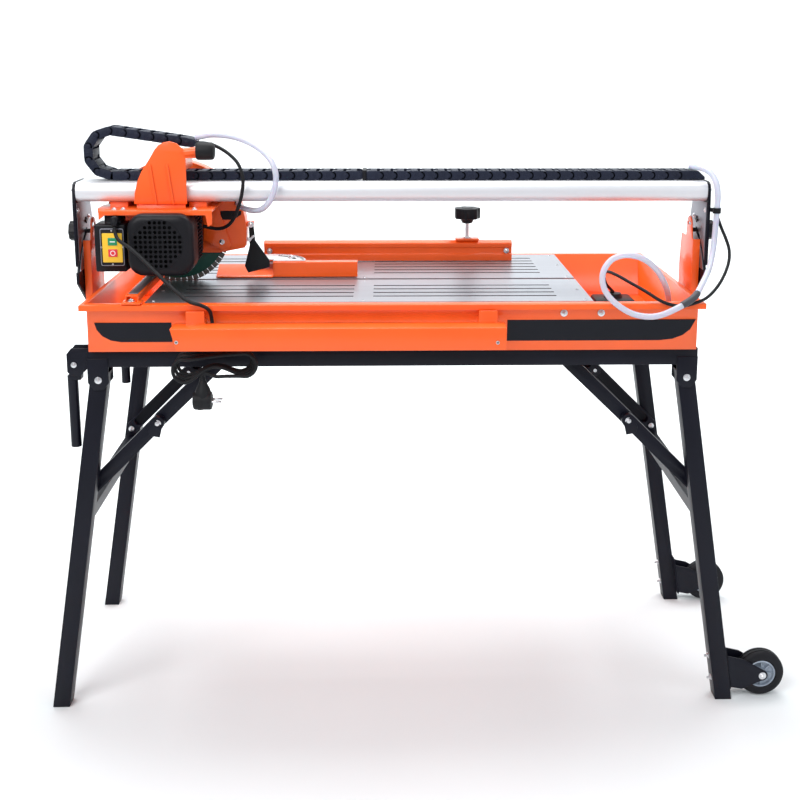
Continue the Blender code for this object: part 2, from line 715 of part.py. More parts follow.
def chain_run(name, start, end):
    """A straight run of the cable chain, lying on the rail."""
    return put(name, box((start, CHAIN_FRONT, CHAIN_LOW), (end, CHAIN_BACK, CHAIN_LOW + CHAIN_HIGH)),
               (BLACK, 0.6))


def chain_loop():
    """The chain's half turn, which travels at half the carriage's pace."""
    inner = LOOP_RADIUS - CHAIN_HIGH
    centre = (LOOP_X, LOOP_Z)
    outline = (arc(centre, LOOP_RADIUS, 90, 270, 16) + arc(centre, inner, 270, 90, 16))
    return put("chain_loop", plate(outline, CHAIN_FRONT, CHAIN_BACK), (BLACK, 0.6))


def chain_upper_run():
    """The chain's upper run, from the half turn to its bracket on the carriage."""
    top = LOOP_Z + LOOP_RADIUS
    outline = [(LOOP_X + GAP, top), (-0.441, 1.1985), (-0.411, 1.1935), (-0.411, 1.1750),
               (-0.441, 1.1800), (LOOP_X + GAP, top - CHAIN_HIGH)]
    return put("chain_upper_run", plate(outline, CHAIN_FRONT, CHAIN_BACK), (BLACK, 0.6))


# ---------------------------------------------------------------- the carriage

def carriage_plate():
    """The domed front plate, which carries the chain's bracket and the hand grip's arm."""
    dome = [(-0.5230, 1.0665), (-0.4170, 1.0665), (-0.4170, 1.1590), (-0.3945, 1.1590),
            (-0.3945, 1.1770), (-0.4170, 1.1770), (-0.4250, 1.1800), (-0.4340, 1.1885),
            (-0.4476, 1.1925), (-0.4600, 1.1905), (-0.4700, 1.1850), (-0.4780, 1.1760),
            (-0.4900, 1.1560), (-0.5057, 1.1328), (-0.5150, 1.1126), (-0.5215, 1.0875)]
    obj = put("carriage_plate", plate(dome, -0.1690, -0.1650), (ORANGE, 0.4))
    weld(obj, box((-0.4230, -0.1660, 1.1340), (-0.4190, -0.0700, 1.1700)))
    return obj


def carriage_bracket():
    """The base under the rail, with the pads that bear on the rail's underside and front."""
    outline = [(-0.589, -0.200), (-0.363, -0.200), (-0.363, -0.0560), (-0.575, -0.0560),
               (-0.599, -0.110), (-0.599, -0.160)]
    obj = put("carriage_bracket", plate(outline, BASE_LOW, BASE_TOP, TO_XY), (ORANGE, 0.4))
    for x in (-0.560, -0.400):
        weld(obj, box((x - 0.018, -0.140, BASE_TOP - 0.001), (x + 0.018, -0.075, RAIL_LOW - GAP)))
    weld(obj, box((-0.519, -0.1645, BASE_TOP - 0.001), (-0.421, -0.1615, 1.1000)),
         box((-0.505, -0.1620, 1.0760), (-0.435, RAIL_FRONT - GAP, 1.0990)))
    return obj


def hand_grip():
    """The grip that the head is pushed by."""
    return put("hand_grip", box((-0.3940, -0.1820, 1.1550), (-0.3600, -0.1510, 1.1910), 0.006, 2),
               (BLACK, 0.5))


MOTOR_BACK = -0.0720


def motor():
    """The motor's body with its flange and cable gland, and the vented cover over its fan."""
    low, high = (-0.5255, 0.9325), (-0.4025, 1.0528)
    body = put("motor_body", plate(rounded(low, high, 0.030, 5), -0.1646, MOTOR_BACK),
               (BLACK, 0.45))
    weld(body, rod((BLADE_X, MOTOR_BACK - 0.002, BLADE_Z), (BLADE_X, -0.0462, BLADE_Z), 0.030, 20),
         rod((-0.4050, -0.1120, 1.0160), (-0.3970, -0.1120, 1.0160), 0.0070, 12))
    cover = put("fan_cover", plate(rounded((-0.530, 0.928), (-0.398, 1.0528), 0.032, 6),
                                   -0.2250, -0.1650), (BLACK, 0.4))
    cut(cover, plate(rounded((-0.527, 0.931), (-0.401, 1.0498), 0.029, 6), -0.2215, -0.1500))
    return body


def blade_guard():
    """The guard over the blade, open below, with the hole that the motor's flange passes."""
    centre = (BLADE_X, BLADE_Z)
    outline = arc(centre, GUARD_RADIUS, -14, 194, 26) + [(-0.557, 0.947), (-0.3715, 0.947)]
    obj = put("blade_guard", plate(outline, GUARD_FRONT, GUARD_BACK), (ORANGE, 0.4))
    inside = (arc(centre, GUARD_RADIUS - WALL, -12, 192, 26)
              + [(BLADE_X - 0.140, 0.900), (BLADE_X + 0.140, 0.900)])
    cut(obj, plate(inside, GUARD_FRONT + WALL, GUARD_BACK - WALL),
        rod((BLADE_X, GUARD_FRONT - 0.01, BLADE_Z), (BLADE_X, GUARD_FRONT + 0.01, BLADE_Z),
            0.034, 24))
    x, z = FLAP_HINGE
    for side in (-1, 1):
        near = CUT_Y + side * (FLAP_THICK / 2 + 0.0005)
        far = near + side * 0.0040
        weld(obj, box((x - 0.0120, min(near, far), z - 0.0050),
                      (x + 0.0055, max(near, far), z + 0.0055)))
    return obj


def blade():
    """The diamond blade, a thin disc with its arbor hole, and the flanges that clamp it."""
    half = BLADE_THICK / 2
    profile = [(ARBOR, half), (BLADE_RADIUS, half), (BLADE_RADIUS, -half), (ARBOR, -half),
               (ARBOR, half)]
    turned("blade", profile, ((0.02, 0.09, 0.07), 0.35, 0.3), (BLADE_X, CUT_Y, BLADE_Z), "Y", 48)
    seat = half + 0.0003
    flanges = [(0.0, 0.0185), (0.0120, 0.0185), (0.0120, 0.0085), (0.0280, 0.0060),
               (0.0280, seat), (ARBOR - 0.0005, seat), (ARBOR - 0.0005, -seat), (0.0280, -seat),
               (0.0280, -0.0085), (0.0, -0.0085)]
    turned("blade_flange", flanges, (STEEL, 0.3, 1.0), (BLADE_X, CUT_Y, BLADE_Z), "Y", 24)


def splash_flap():
    """The flap that hangs at the front of the guard, between the guard's two ears."""
    x, z = FLAP_HINGE
    outline = [*arc(FLAP_HINGE, 0.0050, 0, 180, 6), (x - 0.0040, 0.9600), (x - 0.0155, 0.9150),
               (x - 0.0085, 0.9000), (x + 0.0380, 0.9120), (x + 0.0380, 0.9260), (x + 0.0080, 0.9700)]
    return put("splash_flap", plate(outline, CUT_Y - FLAP_THICK / 2, CUT_Y + FLAP_THICK / 2),
               (BLACK, 0.6), (x, CUT_Y, z))


SWITCH_FRONT = -0.2000


def switch_box():
    """The switch box, its gland block on top and its cover frame, and its two buttons."""
    obj = put("switch_box", box((-0.5990, SWITCH_FRONT, 0.9335), (-0.5360, -0.1400, 1.0300),
                                0.004, 2), (BLACK, 0.5))
    weld(obj, box((-0.5870, SWITCH_FRONT - 0.0040, 0.9460), (-0.5385, SWITCH_FRONT + 0.002, 1.0230)),
         box((-0.5790, -0.1900, 1.0280), (-0.5470, -0.1450, 1.0490)),
         rod((-0.5555, -0.1890, 1.0400), (-0.5555, -0.2120, 1.0400), 0.0075, 12),
         rod((-0.5555, -0.2060, 1.0400), (-0.5545, -0.2120, 1.0270), 0.0065, 12))
    wells = [((-0.5715, SWITCH_FRONT - 0.010, z - 0.0087), (-0.5515, SWITCH_FRONT + 0.006, z + 0.0087))
             for z in (0.9960, 0.9730)]
    cut(obj, boxes(wells))
    for name, z, colour in (("start_button", 0.9960, (0.02, 0.35, 0.16)),
                            ("stop_button", 0.9730, (0.70, 0.02, 0.03))):
        put(name, box((-0.5709, SWITCH_FRONT - 0.0070, z - 0.0080),
                      (-0.5521, SWITCH_FRONT + 0.0015, z + 0.0080), 0.001, 1), (colour, 0.35),
            (-0.5615, SWITCH_FRONT, z))
    return obj


# ---------------------------------------------------------------- cords and hoses

MOTOR_CABLE = [(-0.4070, -0.0800, 1.1830), (-0.3850, -0.1060, 1.1840), (-0.3600, -0.1330, 1.1800),
               (-0.3330, -0.1550, 1.1670), (-0.3120, -0.1680, 1.1470), (-0.3030, -0.1730, 1.1180),
               (-0.3060, -0.1700, 1.0880), (-0.3150, -0.1600, 1.0600), (-0.3270, -0.1430, 1.0340),
               (-0.3440, -0.1260, 1.0150), (-0.3660, -0.1150, 1.0080), (-0.3950, -0.1120, 1.0130)]
BLADE_HOSE = [(-0.4070, -0.0980, 1.1950), (-0.3680, -0.1040, 1.2010), (-0.3200, -0.1200, 1.1960),
              (-0.2780, -0.1420, 1.1800), (-0.2480, -0.1620, 1.1550), (-0.2370, -0.1690, 1.1240),
              (-0.2420, -0.1700, 1.0920), (-0.2530, -0.1680, 1.0690), (-0.2720, -0.1500, 1.0520),
              (-0.2970, -0.1150, 1.0470), (-0.3180, -0.0800, 1.0480), (-0.3290, -0.0590, 1.0530)]
MAINS_UPPER = [(-0.5545, -0.2130, 1.0262), (-0.5520, -0.2170, 1.0130), (-0.5440, -0.2260, 1.0020),
               (-0.5200, -0.2430, 0.9900), (-0.4980, -0.2540, 0.9740), (-0.4765, -0.2650, 0.9560),
               (-0.4500, -0.2800, 0.9340), (-0.4260, -0.2920, 0.9150), (-0.4080, -0.2990, 0.9000)]
MAINS_LOWER = [(-0.4070, -0.2994, 0.8992), (-0.3920, -0.3040, 0.8925), (-0.3760, -0.3060, 0.8885),
               (-0.3630, -0.3020, 0.8810), (-0.3575, -0.2930, 0.8690), (-0.3560, -0.2865, 0.8500),
               (-0.3530, -0.2820, 0.8240), (-0.3520, -0.2805, 0.7985)]
HANK_LOW = 0.7480
FEED_HOSE = [(0.6200, -0.1000, 1.1345), (0.6350, -0.1260, 1.1345), (0.6476, -0.1476, 1.1278),
             (0.6567, -0.1634, 1.1095), (0.6601, -0.1692, 1.0845), (0.6600, -0.1690, 1.0520),
             (0.6590, -0.1690, 1.0150), (0.6540, -0.1780, 0.9750), (0.6390, -0.2100, 0.9420),
             (0.6150, -0.2530, 0.9190), (0.5850, -0.3000, 0.8985), (0.5500, -0.3120, 0.8800),
             (0.5100, -0.3150, 0.8650), (0.4700, -0.3120, 0.8670), (0.4350, -0.3050, 0.8850),
             (0.4100, -0.3010, 0.9130), (0.4050, -0.2970, 0.9450), (0.4220, -0.2920, 0.9720),
             (0.4530, -0.2880, 0.9810), (0.4870, -0.2820, 0.9720), (0.5150, -0.2720, 0.9500),
             (0.5350, -0.2580, 0.9220), (0.5500, -0.2350, 0.8930), (0.5620, -0.1950, 0.8620),
             (0.5650, -0.1400, 0.8330), (0.5560, -0.0840, 0.8140), (0.5360, -0.0350, 0.8070),
             (0.5050, 0.0145, 0.8080)]
PUMP_CABLE = [(0.6660, -0.1600, 1.0340), (0.6730, -0.1650, 1.0140), (0.6810, -0.1730, 0.9930),
              (0.6850, -0.1850, 0.9720), (0.6780, -0.2060, 0.9470), (0.6540, -0.2400, 0.9170),
              (0.6200, -0.2780, 0.8960), (0.5900, -0.2960, 0.8870), (0.5600, -0.2970, 0.8810),
              (0.5260, -0.2960, 0.8890), (0.4950, -0.2700, 0.9060), (0.4740, -0.2200, 0.9140),
              (0.4580, -0.1600, 0.9180), (0.4520, -0.1000, 0.9120), (0.4580, -0.0450, 0.8900),
              (0.4740, 0.0050, 0.8630), (0.4900, 0.0380, 0.8460), (0.4980, 0.0570, 0.8375)]


def mains_hank():
    """The outer shape of the mains lead's hank, hung on the front beam."""
    middle = HANK_LOW + 0.0250
    return put("mains_hank", plate(stadium((-0.420, middle), (-0.297, middle), 0.025),
                                   -0.3000, -0.2700), (BLACK, 0.6))


def mains_plug():
    """A moulded plug hanging below the hank, with two pins."""
    x, y = -0.3780, -0.2900
    obj = put("mains_plug", rod((x, y, 0.7475), (x, y, 0.7260), 0.0050, 12, 0.0075), (BLACK, 0.5))
    weld(obj, rod((x, y, 0.7270), (x - 0.002, y, 0.7060), 0.0085, 16, 0.0165),
         rod((x - 0.0195, y, 0.6915), (x + 0.0180, y, 0.6915), 0.0185, 24),
         rod((x + 0.0170, y - 0.0095, 0.6915), (x + 0.0370, y - 0.0095, 0.6915), 0.0024, 10),
         rod((x + 0.0170, y + 0.0095, 0.6915), (x + 0.0370, y + 0.0095, 0.6915), 0.0024, 10))
    return obj


# ---------------------------------------------------------------- the whole machine

def build_stand():
    beam("front_beam", -1)
    beam("back_beam", 1)
    cross_beam("left_cross_beam", -1)
    cross_beam("right_cross_beam", 1)
    for name, side in (("left", -1), ("right", 1)):
        leg_frame(f"{name}_leg_frame", side)
        braces(name, side)
    for name, side in (("front", -1), ("back", 1)):
        wheel(f"{name}_wheel", side)
        handle(f"{name}_handle", side)


def build_tray():
    tray()
    tables()
    back_guide()
    end_guide()
    guide_stop()
    mitre_fence()
    pump()
    side_table()
    for name, side in (("left", -1), ("right", 1)):
        post(f"{name}_post", side)


def build_bridge():
    guide_rail()
    for name, side in (("left", -1), ("right", 1)):
        end_plate(f"{name}_end_plate", side)
        lock_knob(f"{name}_lock_knob", side)
    chain_run("chain_lower_run", LOOP_X + GAP, CHAIN_CLIP_X - GAP)
    chain_run("chain_fixed_run", CHAIN_CLIP_X, 0.6480)
    chain_loop()


def build_carriage():
    chain_upper_run()
    carriage_plate()
    carriage_bracket()
    hand_grip()
    motor()
    blade_guard()
    blade()
    splash_flap()
    switch_box()


def build_cords():
    cord("motor_cable", MOTOR_CABLE, LEAD, BLACK)
    cord("blade_hose", BLADE_HOSE, HOSE, (0.75, 0.78, 0.85))
    cord("mains_lead_upper", MAINS_UPPER, LEAD, BLACK)
    cord("mains_lead_lower", MAINS_LOWER, LEAD, BLACK)
    cord("feed_hose", FEED_HOSE, HOSE, (0.75, 0.78, 0.85), 0.022)
    cord("pump_cable", PUMP_CABLE, SMALL_CABLE, BLACK, 0.020)
    mains_hank()
    mains_plug()


build_stand()
build_tray()
build_bridge()
build_carriage()
build_cords()
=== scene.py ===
"""The looks of a rail tile cutter on a folding stand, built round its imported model.

Lengths are metres. Places are given in the machine's own frame, whose x = 0 is the middle of the
tray, and MACHINE moves them to the row frame.
"""

import json
from math import atan2, cos, degrees, hypot, pi, radians, sin

import bmesh
import bpy
from mathutils import Matrix, Vector

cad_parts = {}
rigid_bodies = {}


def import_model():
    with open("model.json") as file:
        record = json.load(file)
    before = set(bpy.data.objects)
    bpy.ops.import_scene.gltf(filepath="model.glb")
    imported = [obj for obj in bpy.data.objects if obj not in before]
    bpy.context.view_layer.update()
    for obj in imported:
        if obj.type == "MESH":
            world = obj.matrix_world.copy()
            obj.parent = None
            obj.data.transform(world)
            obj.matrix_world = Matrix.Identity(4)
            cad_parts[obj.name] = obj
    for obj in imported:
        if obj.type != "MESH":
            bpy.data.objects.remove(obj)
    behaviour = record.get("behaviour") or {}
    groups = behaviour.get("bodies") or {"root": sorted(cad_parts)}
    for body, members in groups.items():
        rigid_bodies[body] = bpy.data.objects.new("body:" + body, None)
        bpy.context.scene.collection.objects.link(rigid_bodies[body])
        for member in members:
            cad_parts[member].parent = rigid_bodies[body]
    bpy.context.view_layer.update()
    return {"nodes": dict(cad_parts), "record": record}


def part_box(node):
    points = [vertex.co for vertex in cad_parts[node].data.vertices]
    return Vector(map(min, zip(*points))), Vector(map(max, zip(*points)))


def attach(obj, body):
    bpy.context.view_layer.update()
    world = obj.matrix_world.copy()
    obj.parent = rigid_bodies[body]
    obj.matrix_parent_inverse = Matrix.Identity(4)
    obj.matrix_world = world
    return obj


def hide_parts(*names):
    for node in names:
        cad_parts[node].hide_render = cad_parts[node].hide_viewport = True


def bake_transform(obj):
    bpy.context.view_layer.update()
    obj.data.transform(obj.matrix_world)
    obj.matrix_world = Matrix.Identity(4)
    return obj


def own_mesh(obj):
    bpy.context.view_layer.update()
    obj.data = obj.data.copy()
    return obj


for old in list(bpy.data.objects):
    bpy.data.objects.remove(old)

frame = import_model()
NODES = frame["nodes"]
BODY_OF = {node: body for body, members in frame["record"]["behaviour"]["bodies"].items()
           for node in members}
SLOT_OF = {row["node"]: row["material_slot"] for row in frame["record"]["subparts"]}
MACHINE = Vector((-0.0578, 0.027, 0.0))


def linked(name, data):
    """A new object in the scene."""
    obj = bpy.data.objects.new(name, data)
    bpy.context.scene.collection.objects.link(obj)
    return obj


def mesh_of(part, name):
    """The part as mesh data; the part itself is used up."""
    data = bpy.data.meshes.new(name)
    part.to_mesh(data)
    part.free()
    return data


def transform(part, matrix):
    bmesh.ops.transform(part, matrix=matrix, verts=part.verts)


# ---- materials

RELIEF_HIGH = 0.0004


def filled(node, **values):
    """The node with these sockets set; an underscore stands for a space in a socket's name."""
    for socket, value in values.items():
        node.inputs[socket.replace("_", " ")].default_value = value
    return node


def look(name, colour, rough, metallic=0.0, vary=0.1, scale=14.0, rough_vary=0.06,
         grain=900.0, bump=0.06, stretch=(1, 1, 1), **sockets):
    """A surface whose colour, roughness and relief vary a little from place to place."""
    made = bpy.data.materials.new(name)
    made.use_nodes = True
    nodes, links = made.node_tree.nodes, made.node_tree.links
    shader = filled(nodes["Principled BSDF"], Metallic=metallic, **sockets)
    place = nodes.new("ShaderNodeTexCoord")
    mapping = filled(nodes.new("ShaderNodeMapping"), Scale=stretch)
    links.new(place.outputs["Object"], mapping.inputs["Vector"])
    clouds = filled(nodes.new("ShaderNodeTexNoise"), Scale=scale, Detail=5.0)
    links.new(mapping.outputs["Vector"], clouds.inputs["Vector"])
    ramp = nodes.new("ShaderNodeValToRGB")
    for stop, place_at, share in zip(ramp.color_ramp.elements, (0.3, 0.7), (1 - vary, 1 + vary)):
        stop.position = place_at
        stop.color = (*[min(1.0, c * share) for c in colour], 1.0)
    links.new(clouds.outputs["Fac"], ramp.inputs["Fac"])
    links.new(ramp.outputs["Color"], shader.inputs["Base Color"])
    worn = filled(nodes.new("ShaderNodeMapRange"), To_Min=max(0.02, rough - rough_vary),
                  To_Max=min(1.0, rough + rough_vary))
    links.new(clouds.outputs["Fac"], worn.inputs["Value"])
    links.new(worn.outputs["Result"], shader.inputs["Roughness"])
    fine = filled(nodes.new("ShaderNodeTexNoise"), Scale=grain, Detail=2.0)
    links.new(mapping.outputs["Vector"], fine.inputs["Vector"])
    relief = filled(nodes.new("ShaderNodeBump"), Strength=bump, Distance=RELIEF_HIGH)
    links.new(fine.outputs["Fac"], relief.inputs["Height"])
    links.new(relief.outputs["Normal"], shader.inputs["Normal"])
    return made


ALONG_X = (0.02, 1, 1)
DULL = {"Specular_IOR_Level": 0.22}
ORANGE = look("orange_powder_coat", (0.93, 0.112, 0.009), 0.42, vary=0.04, grain=420, bump=0.03,
              Coat_Weight=0.5, Coat_Roughness=0.17, Specular_IOR_Level=0.3)
NIGHT = look("night_powder_coat", (0.0035, 0.0039, 0.01), 0.42, vary=0.15, grain=520,
             bump=0.08, **DULL)
PLASTIC = look("black_moulded_plastic", (0.006, 0.006, 0.0085), 0.42, vary=0.15, grain=700,
               bump=0.08, **DULL)
MOTOR = look("motor_paint", (0.02, 0.017, 0.024), 0.45, vary=0.2, grain=260, bump=0.15, **DULL)
CHAIN = look("chain_nylon", (0.012, 0.0155, 0.032), 0.5, vary=0.2, grain=600, bump=0.1, **DULL)
RUBBER = look("rubber", (0.009, 0.0095, 0.011), 0.55, vary=0.2, grain=800, bump=0.15, **DULL)
TYRE = look("tyre_rubber", (0.0085, 0.0085, 0.0115), 0.55, vary=0.3, grain=500, bump=0.2, **DULL)
HUB = look("hub_grey", (0.33, 0.38, 0.45), 0.38, metallic=0.35, vary=0.12, grain=400, bump=0.1)
RAIL = look("anodised_rail", (0.76, 0.77, 0.8), 0.48, metallic=0.6, vary=0.015, scale=30,
            rough_vary=0.02, grain=500, bump=0.012, stretch=ALONG_X)
TABLE = look("table_metal", (0.41, 0.415, 0.455), 0.36, metallic=0.85, vary=0.05, scale=50,
             rough_vary=0.03, grain=700, bump=0.02, stretch=ALONG_X)
# Painted shade: the near-black colour of the table slots' walls stands for the shade inside the
# slots.
SLOT_SHADE = look("slot_wall_painted_shade", (0.035, 0.03, 0.034), 0.6, vary=0.15, grain=700, bump=0.05, **DULL)
STEEL = look("plated_steel", (0.72, 0.72, 0.74), 0.28, metallic=1.0, vary=0.08, grain=500,
             bump=0.08)
PLATE = look("bare_plate", (0.27, 0.27, 0.31), 0.42, metallic=0.8, vary=0.12, grain=500, bump=0.1)
CORE = look("blade_core", (0.01, 0.085, 0.06), 0.34, metallic=0.3, vary=0.15, grain=300, bump=0.1)
RIM = look("diamond_rim", (0.155, 0.15, 0.135), 0.6, metallic=0.4, vary=0.25, scale=400,
           grain=1500, bump=0.5)
DECAL = look("decal_vinyl", (0.003, 0.0036, 0.008), 0.3, vary=0.1, grain=300, bump=0.02, **DULL)
YELLOW = look("yellow_label", (0.86, 0.53, 0.03), 0.35, vary=0.05, bump=0.02)
GREEN = look("green_button", (0.01, 0.26, 0.11), 0.3, vary=0.06, bump=0.03)
RED = look("red_button", (0.74, 0.03, 0.05), 0.3, vary=0.06, bump=0.03)
WHITE = look("white_ink", (0.85, 0.85, 0.85), 0.4, vary=0.03, bump=0.02)
HOSE = look("milky_hose", (0.7, 0.72, 0.84), 0.2, vary=0.04, grain=200, bump=0.02,
            Transmission_Weight=0.3, IOR=1.42, Subsurface_Weight=0.25, Subsurface_Scale=0.004)
TAPE = look("grey_tape", (0.045, 0.046, 0.055), 0.55, vary=0.2, grain=900, bump=0.25)


# ---- mesh parts

TO_XZ = Matrix(((1, 0, 0, 0), (0, 0, 1, 0), (0, 1, 0, 0), (0, 0, 0, 1)))
TO_YZ = Matrix(((0, 0, 1, 0), (1, 0, 0, 0), (0, 1, 0, 0), (0, 0, 0, 1)))
TO_XY = Matrix.Identity(4)


def round_edges(part, radius, segments=2, over=30.0):
    """Rounds the edges that turn by more than this many degrees."""
    sharp = [edge for edge in part.edges
             if edge.is_manifold and edge.calc_face_angle(0.0) > radians(over)]
    if sharp and radius:
        bmesh.ops.bevel(part, geom=sharp, offset=radius, segments=segments, profile=0.5,
                        affect="EDGES", clamp_overlap=False)
    return part


def box(low, high, radius=0.0):
    """A block between two corners, its edges rounded to the radius."""
    low, high = Vector(low), Vector(high)
    part = bmesh.new()
    bmesh.ops.create_cube(part, size=1.0)
    size = Matrix.Diagonal((*(high - low), 1.0))
    transform(part, Matrix.Translation((low + high) / 2) @ size)
    return round_edges(part, radius)


def rod(start, end, radius, sides=20, end_radius=None, soften=0.0):
    """A straight bar between two points, tapered if it has an end radius."""
    start, end = Vector(start), Vector(end)
    along = end - start
    part = bmesh.new()
    bmesh.ops.create_cone(part, cap_ends=True, segments=sides, radius1=radius,
                          radius2=radius if end_radius is None else end_radius,
                          depth=along.length)
    turn = along.to_track_quat("Z", "Y").to_matrix().to_4x4()
    transform(part, Matrix.Translation((start + end) / 2) @ turn)
    return round_edges(part, soften, over=50.0)


def prism(points, low, high, radius=0.0, plane=TO_XZ):
    """A flat outline made thick from low to high, across its plane."""
    part = bmesh.new()
    bottom = part.faces.new([part.verts.new((a, b, low)) for a, b in points])
    made = bmesh.ops.extrude_face_region(part, geom=[bottom])["geom"]
    for vert in made:
        if isinstance(vert, bmesh.types.BMVert):
            vert.co.z = high
    transform(part, plane)
    bmesh.ops.recalc_face_normals(part, faces=part.faces)
    return round_edges(part, radius)


def arc(centre, radius, start, end, steps):
    """Points along an arc, from one angle to another in degrees."""
    angles = [radians(start + (end - start) * i / steps) for i in range(steps + 1)]
    return [(centre[0] + radius * cos(a), centre[1] + radius * sin(a)) for a in angles]


def rounded(low, high, radius, steps):
    """The outline of a rectangle with round corners."""
    (a0, b0), (a1, b1) = low, high
    corners = (((a1 - radius, b1 - radius), 0), ((a0 + radius, b1 - radius), 90),
               ((a0 + radius, b0 + radius), 180), ((a1 - radius, b0 + radius), 270))
    return [p for centre, turn in corners for p in arc(centre, radius, turn, turn + 90, steps)]


def loft(rings):
    """A closed body through rings of the same number of points, capped at both ends."""
    part = bmesh.new()
    made = [[part.verts.new(p) for p in row] for row in rings]
    for a, b in zip(made, made[1:]):
        for i in range(len(a)):
            j = (i + 1) % len(a)
            part.faces.new((a[i], a[j], b[j], b[i]))
    part.faces.new(made[0][::-1])
    part.faces.new(made[-1])
    bmesh.ops.recalc_face_normals(part, faces=part.faces)
    return part


def lathe(profile, centre, axis, steps):
    """A turned body: the profile holds (radius, place along the axis)."""
    turns = {"Y": Matrix.Rotation(-pi / 2, 4, "X"), "X": Matrix.Rotation(pi / 2, 4, "Y"),
             "Z": Matrix.Identity(4)}
    angles = [2 * pi * i / steps for i in range(steps)]
    part = loft([[(radius * cos(a), radius * sin(a), along) for a in angles]
                 for radius, along in profile])
    transform(part, Matrix.Translation(centre) @ turns[axis])
    return part


def ring(profile, centre, axis, steps):
    """A turned ring: the closed profile holds (radius, place along the axis)."""
    part = lathe(list(profile) + [profile[0]], centre, axis, steps)
    caps = [face for face in part.faces if len(face.verts) == steps]
    bmesh.ops.delete(part, geom=caps, context="FACES_ONLY")
    bmesh.ops.remove_doubles(part, verts=part.verts, dist=1e-6)
    bmesh.ops.recalc_face_normals(part, faces=part.faces)
    return part


def smooth_route(points, spacing):
    """Points about this far apart on a smooth curve through the route's own points."""
    route = [Vector(p) for p in points]
    route = [2 * route[0] - route[1], *route, 2 * route[-1] - route[-2]]
    found = [route[1]]
    for before, a, b, after in zip(route, route[1:], route[2:], route[3:]):
        count = max(2, round((b - a).length / spacing))
        for i in range(1, count + 1):
            t = i / count
            found.append((2 * a + (b - before) * t + (2 * before - 5 * a + 4 * b - after) * t * t
                          + (3 * a - before - 3 * b + after) * t ** 3) / 2)
    return found


def tube(points, radius, sides=14):
    """A round tube along the points, with flat ends."""
    directions = []
    for i in range(len(points)):
        before, after = points[max(0, i - 1)], points[min(len(points) - 1, i + 1)]
        directions.append((after - before).normalized())
    across = directions[0].orthogonal().normalized()
    rings = []
    for point, along in zip(points, directions):
        across = (across - along * across.dot(along)).normalized()
        up = along.cross(across)
        turns = [2 * pi * k / sides for k in range(sides)]
        rings.append([point + (across * cos(a) + up * sin(a)) * radius for a in turns])
    return loft(rings)


def bolt(at, facing, radius, high):
    """A hex head with its washer, standing on a face at this place."""
    at, facing = Vector(at), Vector(facing).normalized()
    head = rod(at, at + facing * high, radius, 6, soften=0.0006)
    tip = rod(at + facing * high * 0.9, at + facing * (high + 0.0012), radius * 0.62, 16,
              radius * 0.35)
    washer = rod(at - facing * 0.0004, at + facing * 0.001, radius * 1.45, 24, soften=0.0003)
    return merged([head, tip, washer])


def screw(at, facing, radius):
    """A low pan head with a cross recess."""
    at, facing = Vector(at), Vector(facing).normalized()
    side = facing.orthogonal().normalized()
    other = facing.cross(side)
    head = rod(at, at + facing * radius * 0.45, radius, 20, radius * 0.72, soften=0.0003)
    top = at + facing * radius * 0.36
    bars = []
    for a, b in ((side, other), (other, side)):
        corners = [top + a * s * radius * 0.55 + b * t * radius * 0.13 for s, t in
                   ((-1, -1), (1, -1), (1, 1), (-1, 1))]
        bars.append(loft([corners, [c + facing * radius * 0.13 for c in corners]]))
    return head, merged(bars)


def merged(parts, into=None):
    """One mesh of all the parts, which are used up."""
    into = into or bmesh.new()
    for part in parts:
        temp = mesh_of(part, "temp")
        into.from_mesh(temp)
        bpy.data.meshes.remove(temp)
    return into


# ---- pieces

SHARP_FROM = radians(34)


class Piece:
    """Mesh parts gathered into one object, each part with its own material."""

    def __init__(self, *stands_for):
        self.mesh = bmesh.new()
        self.looks = []
        self.stands_for = stands_for

    def add(self, part, surface, matrix=None, moved=True):
        if matrix is not None:
            transform(part, matrix)
        if moved:
            bmesh.ops.translate(part, vec=MACHINE, verts=part.verts)
        if surface not in self.looks:
            self.looks.append(surface)
        before = len(self.mesh.faces)
        merged([part], self.mesh)
        self.mesh.faces.ensure_lookup_table()
        for face in self.mesh.faces[before:]:
            face.material_index = self.looks.index(surface)
            face.smooth = True
        return self

    def screws(self, places, facing, radius):
        for at in places:
            head, cross = screw(at, facing, radius)
            self.add(head, STEEL).add(cross, RUBBER)

    def bolts(self, places, facing, radius, high=0.0032):
        for at in places:
            self.add(bolt(at, facing, radius, high), STEEL)

    def place(self, name, body=None, slot=None, rides=True):
        """The object, on the body of the CAD node that it stands for."""
        data = mesh_of(self.mesh, name)
        data.set_sharp_from_angle(angle=SHARP_FROM)
        obj = linked(name, data)
        for surface in self.looks:
            data.materials.append(surface)
        if self.stands_for:
            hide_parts(*self.stands_for)
            slot = slot or SLOT_OF[self.stands_for[0]]
            body = body or BODY_OF[self.stands_for[0]]
        if rides:
            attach(obj, body)
        return obj


def cut(obj, part):
    """Cuts the part from the object at once."""
    bmesh.ops.translate(part, vec=MACHINE, verts=part.verts)
    cutter = linked("cutter", mesh_of(part, "cutter"))
    modifier = obj.modifiers.new("cut", "BOOLEAN")
    modifier.object = cutter
    modifier.operation = "DIFFERENCE"
    modifier.solver = "EXACT"
    graph = bpy.context.evaluated_depsgraph_get()
    data = bpy.data.meshes.new_from_object(obj.evaluated_get(graph))
    obj.modifiers.clear()
    obj.data = data
    bpy.data.objects.remove(cutter)


def refined(node, surface, radius=0.0008, segments=2, over=30.0):
    """A new piece from the CAD node's own shape, with its edges rounded."""
    part = bmesh.new()
    part.from_mesh(NODES[node].data)
    bmesh.ops.remove_doubles(part, verts=part.verts, dist=2e-5)
    round_edges(part, radius, segments, over)
    return Piece(node).add(part, surface, moved=False)


# ---- the camera, the light, the floor

CAMERA_PITCH, CAMERA_ROLL, CAMERA_TURN = 90 - 11.16, -0.11, -1.4


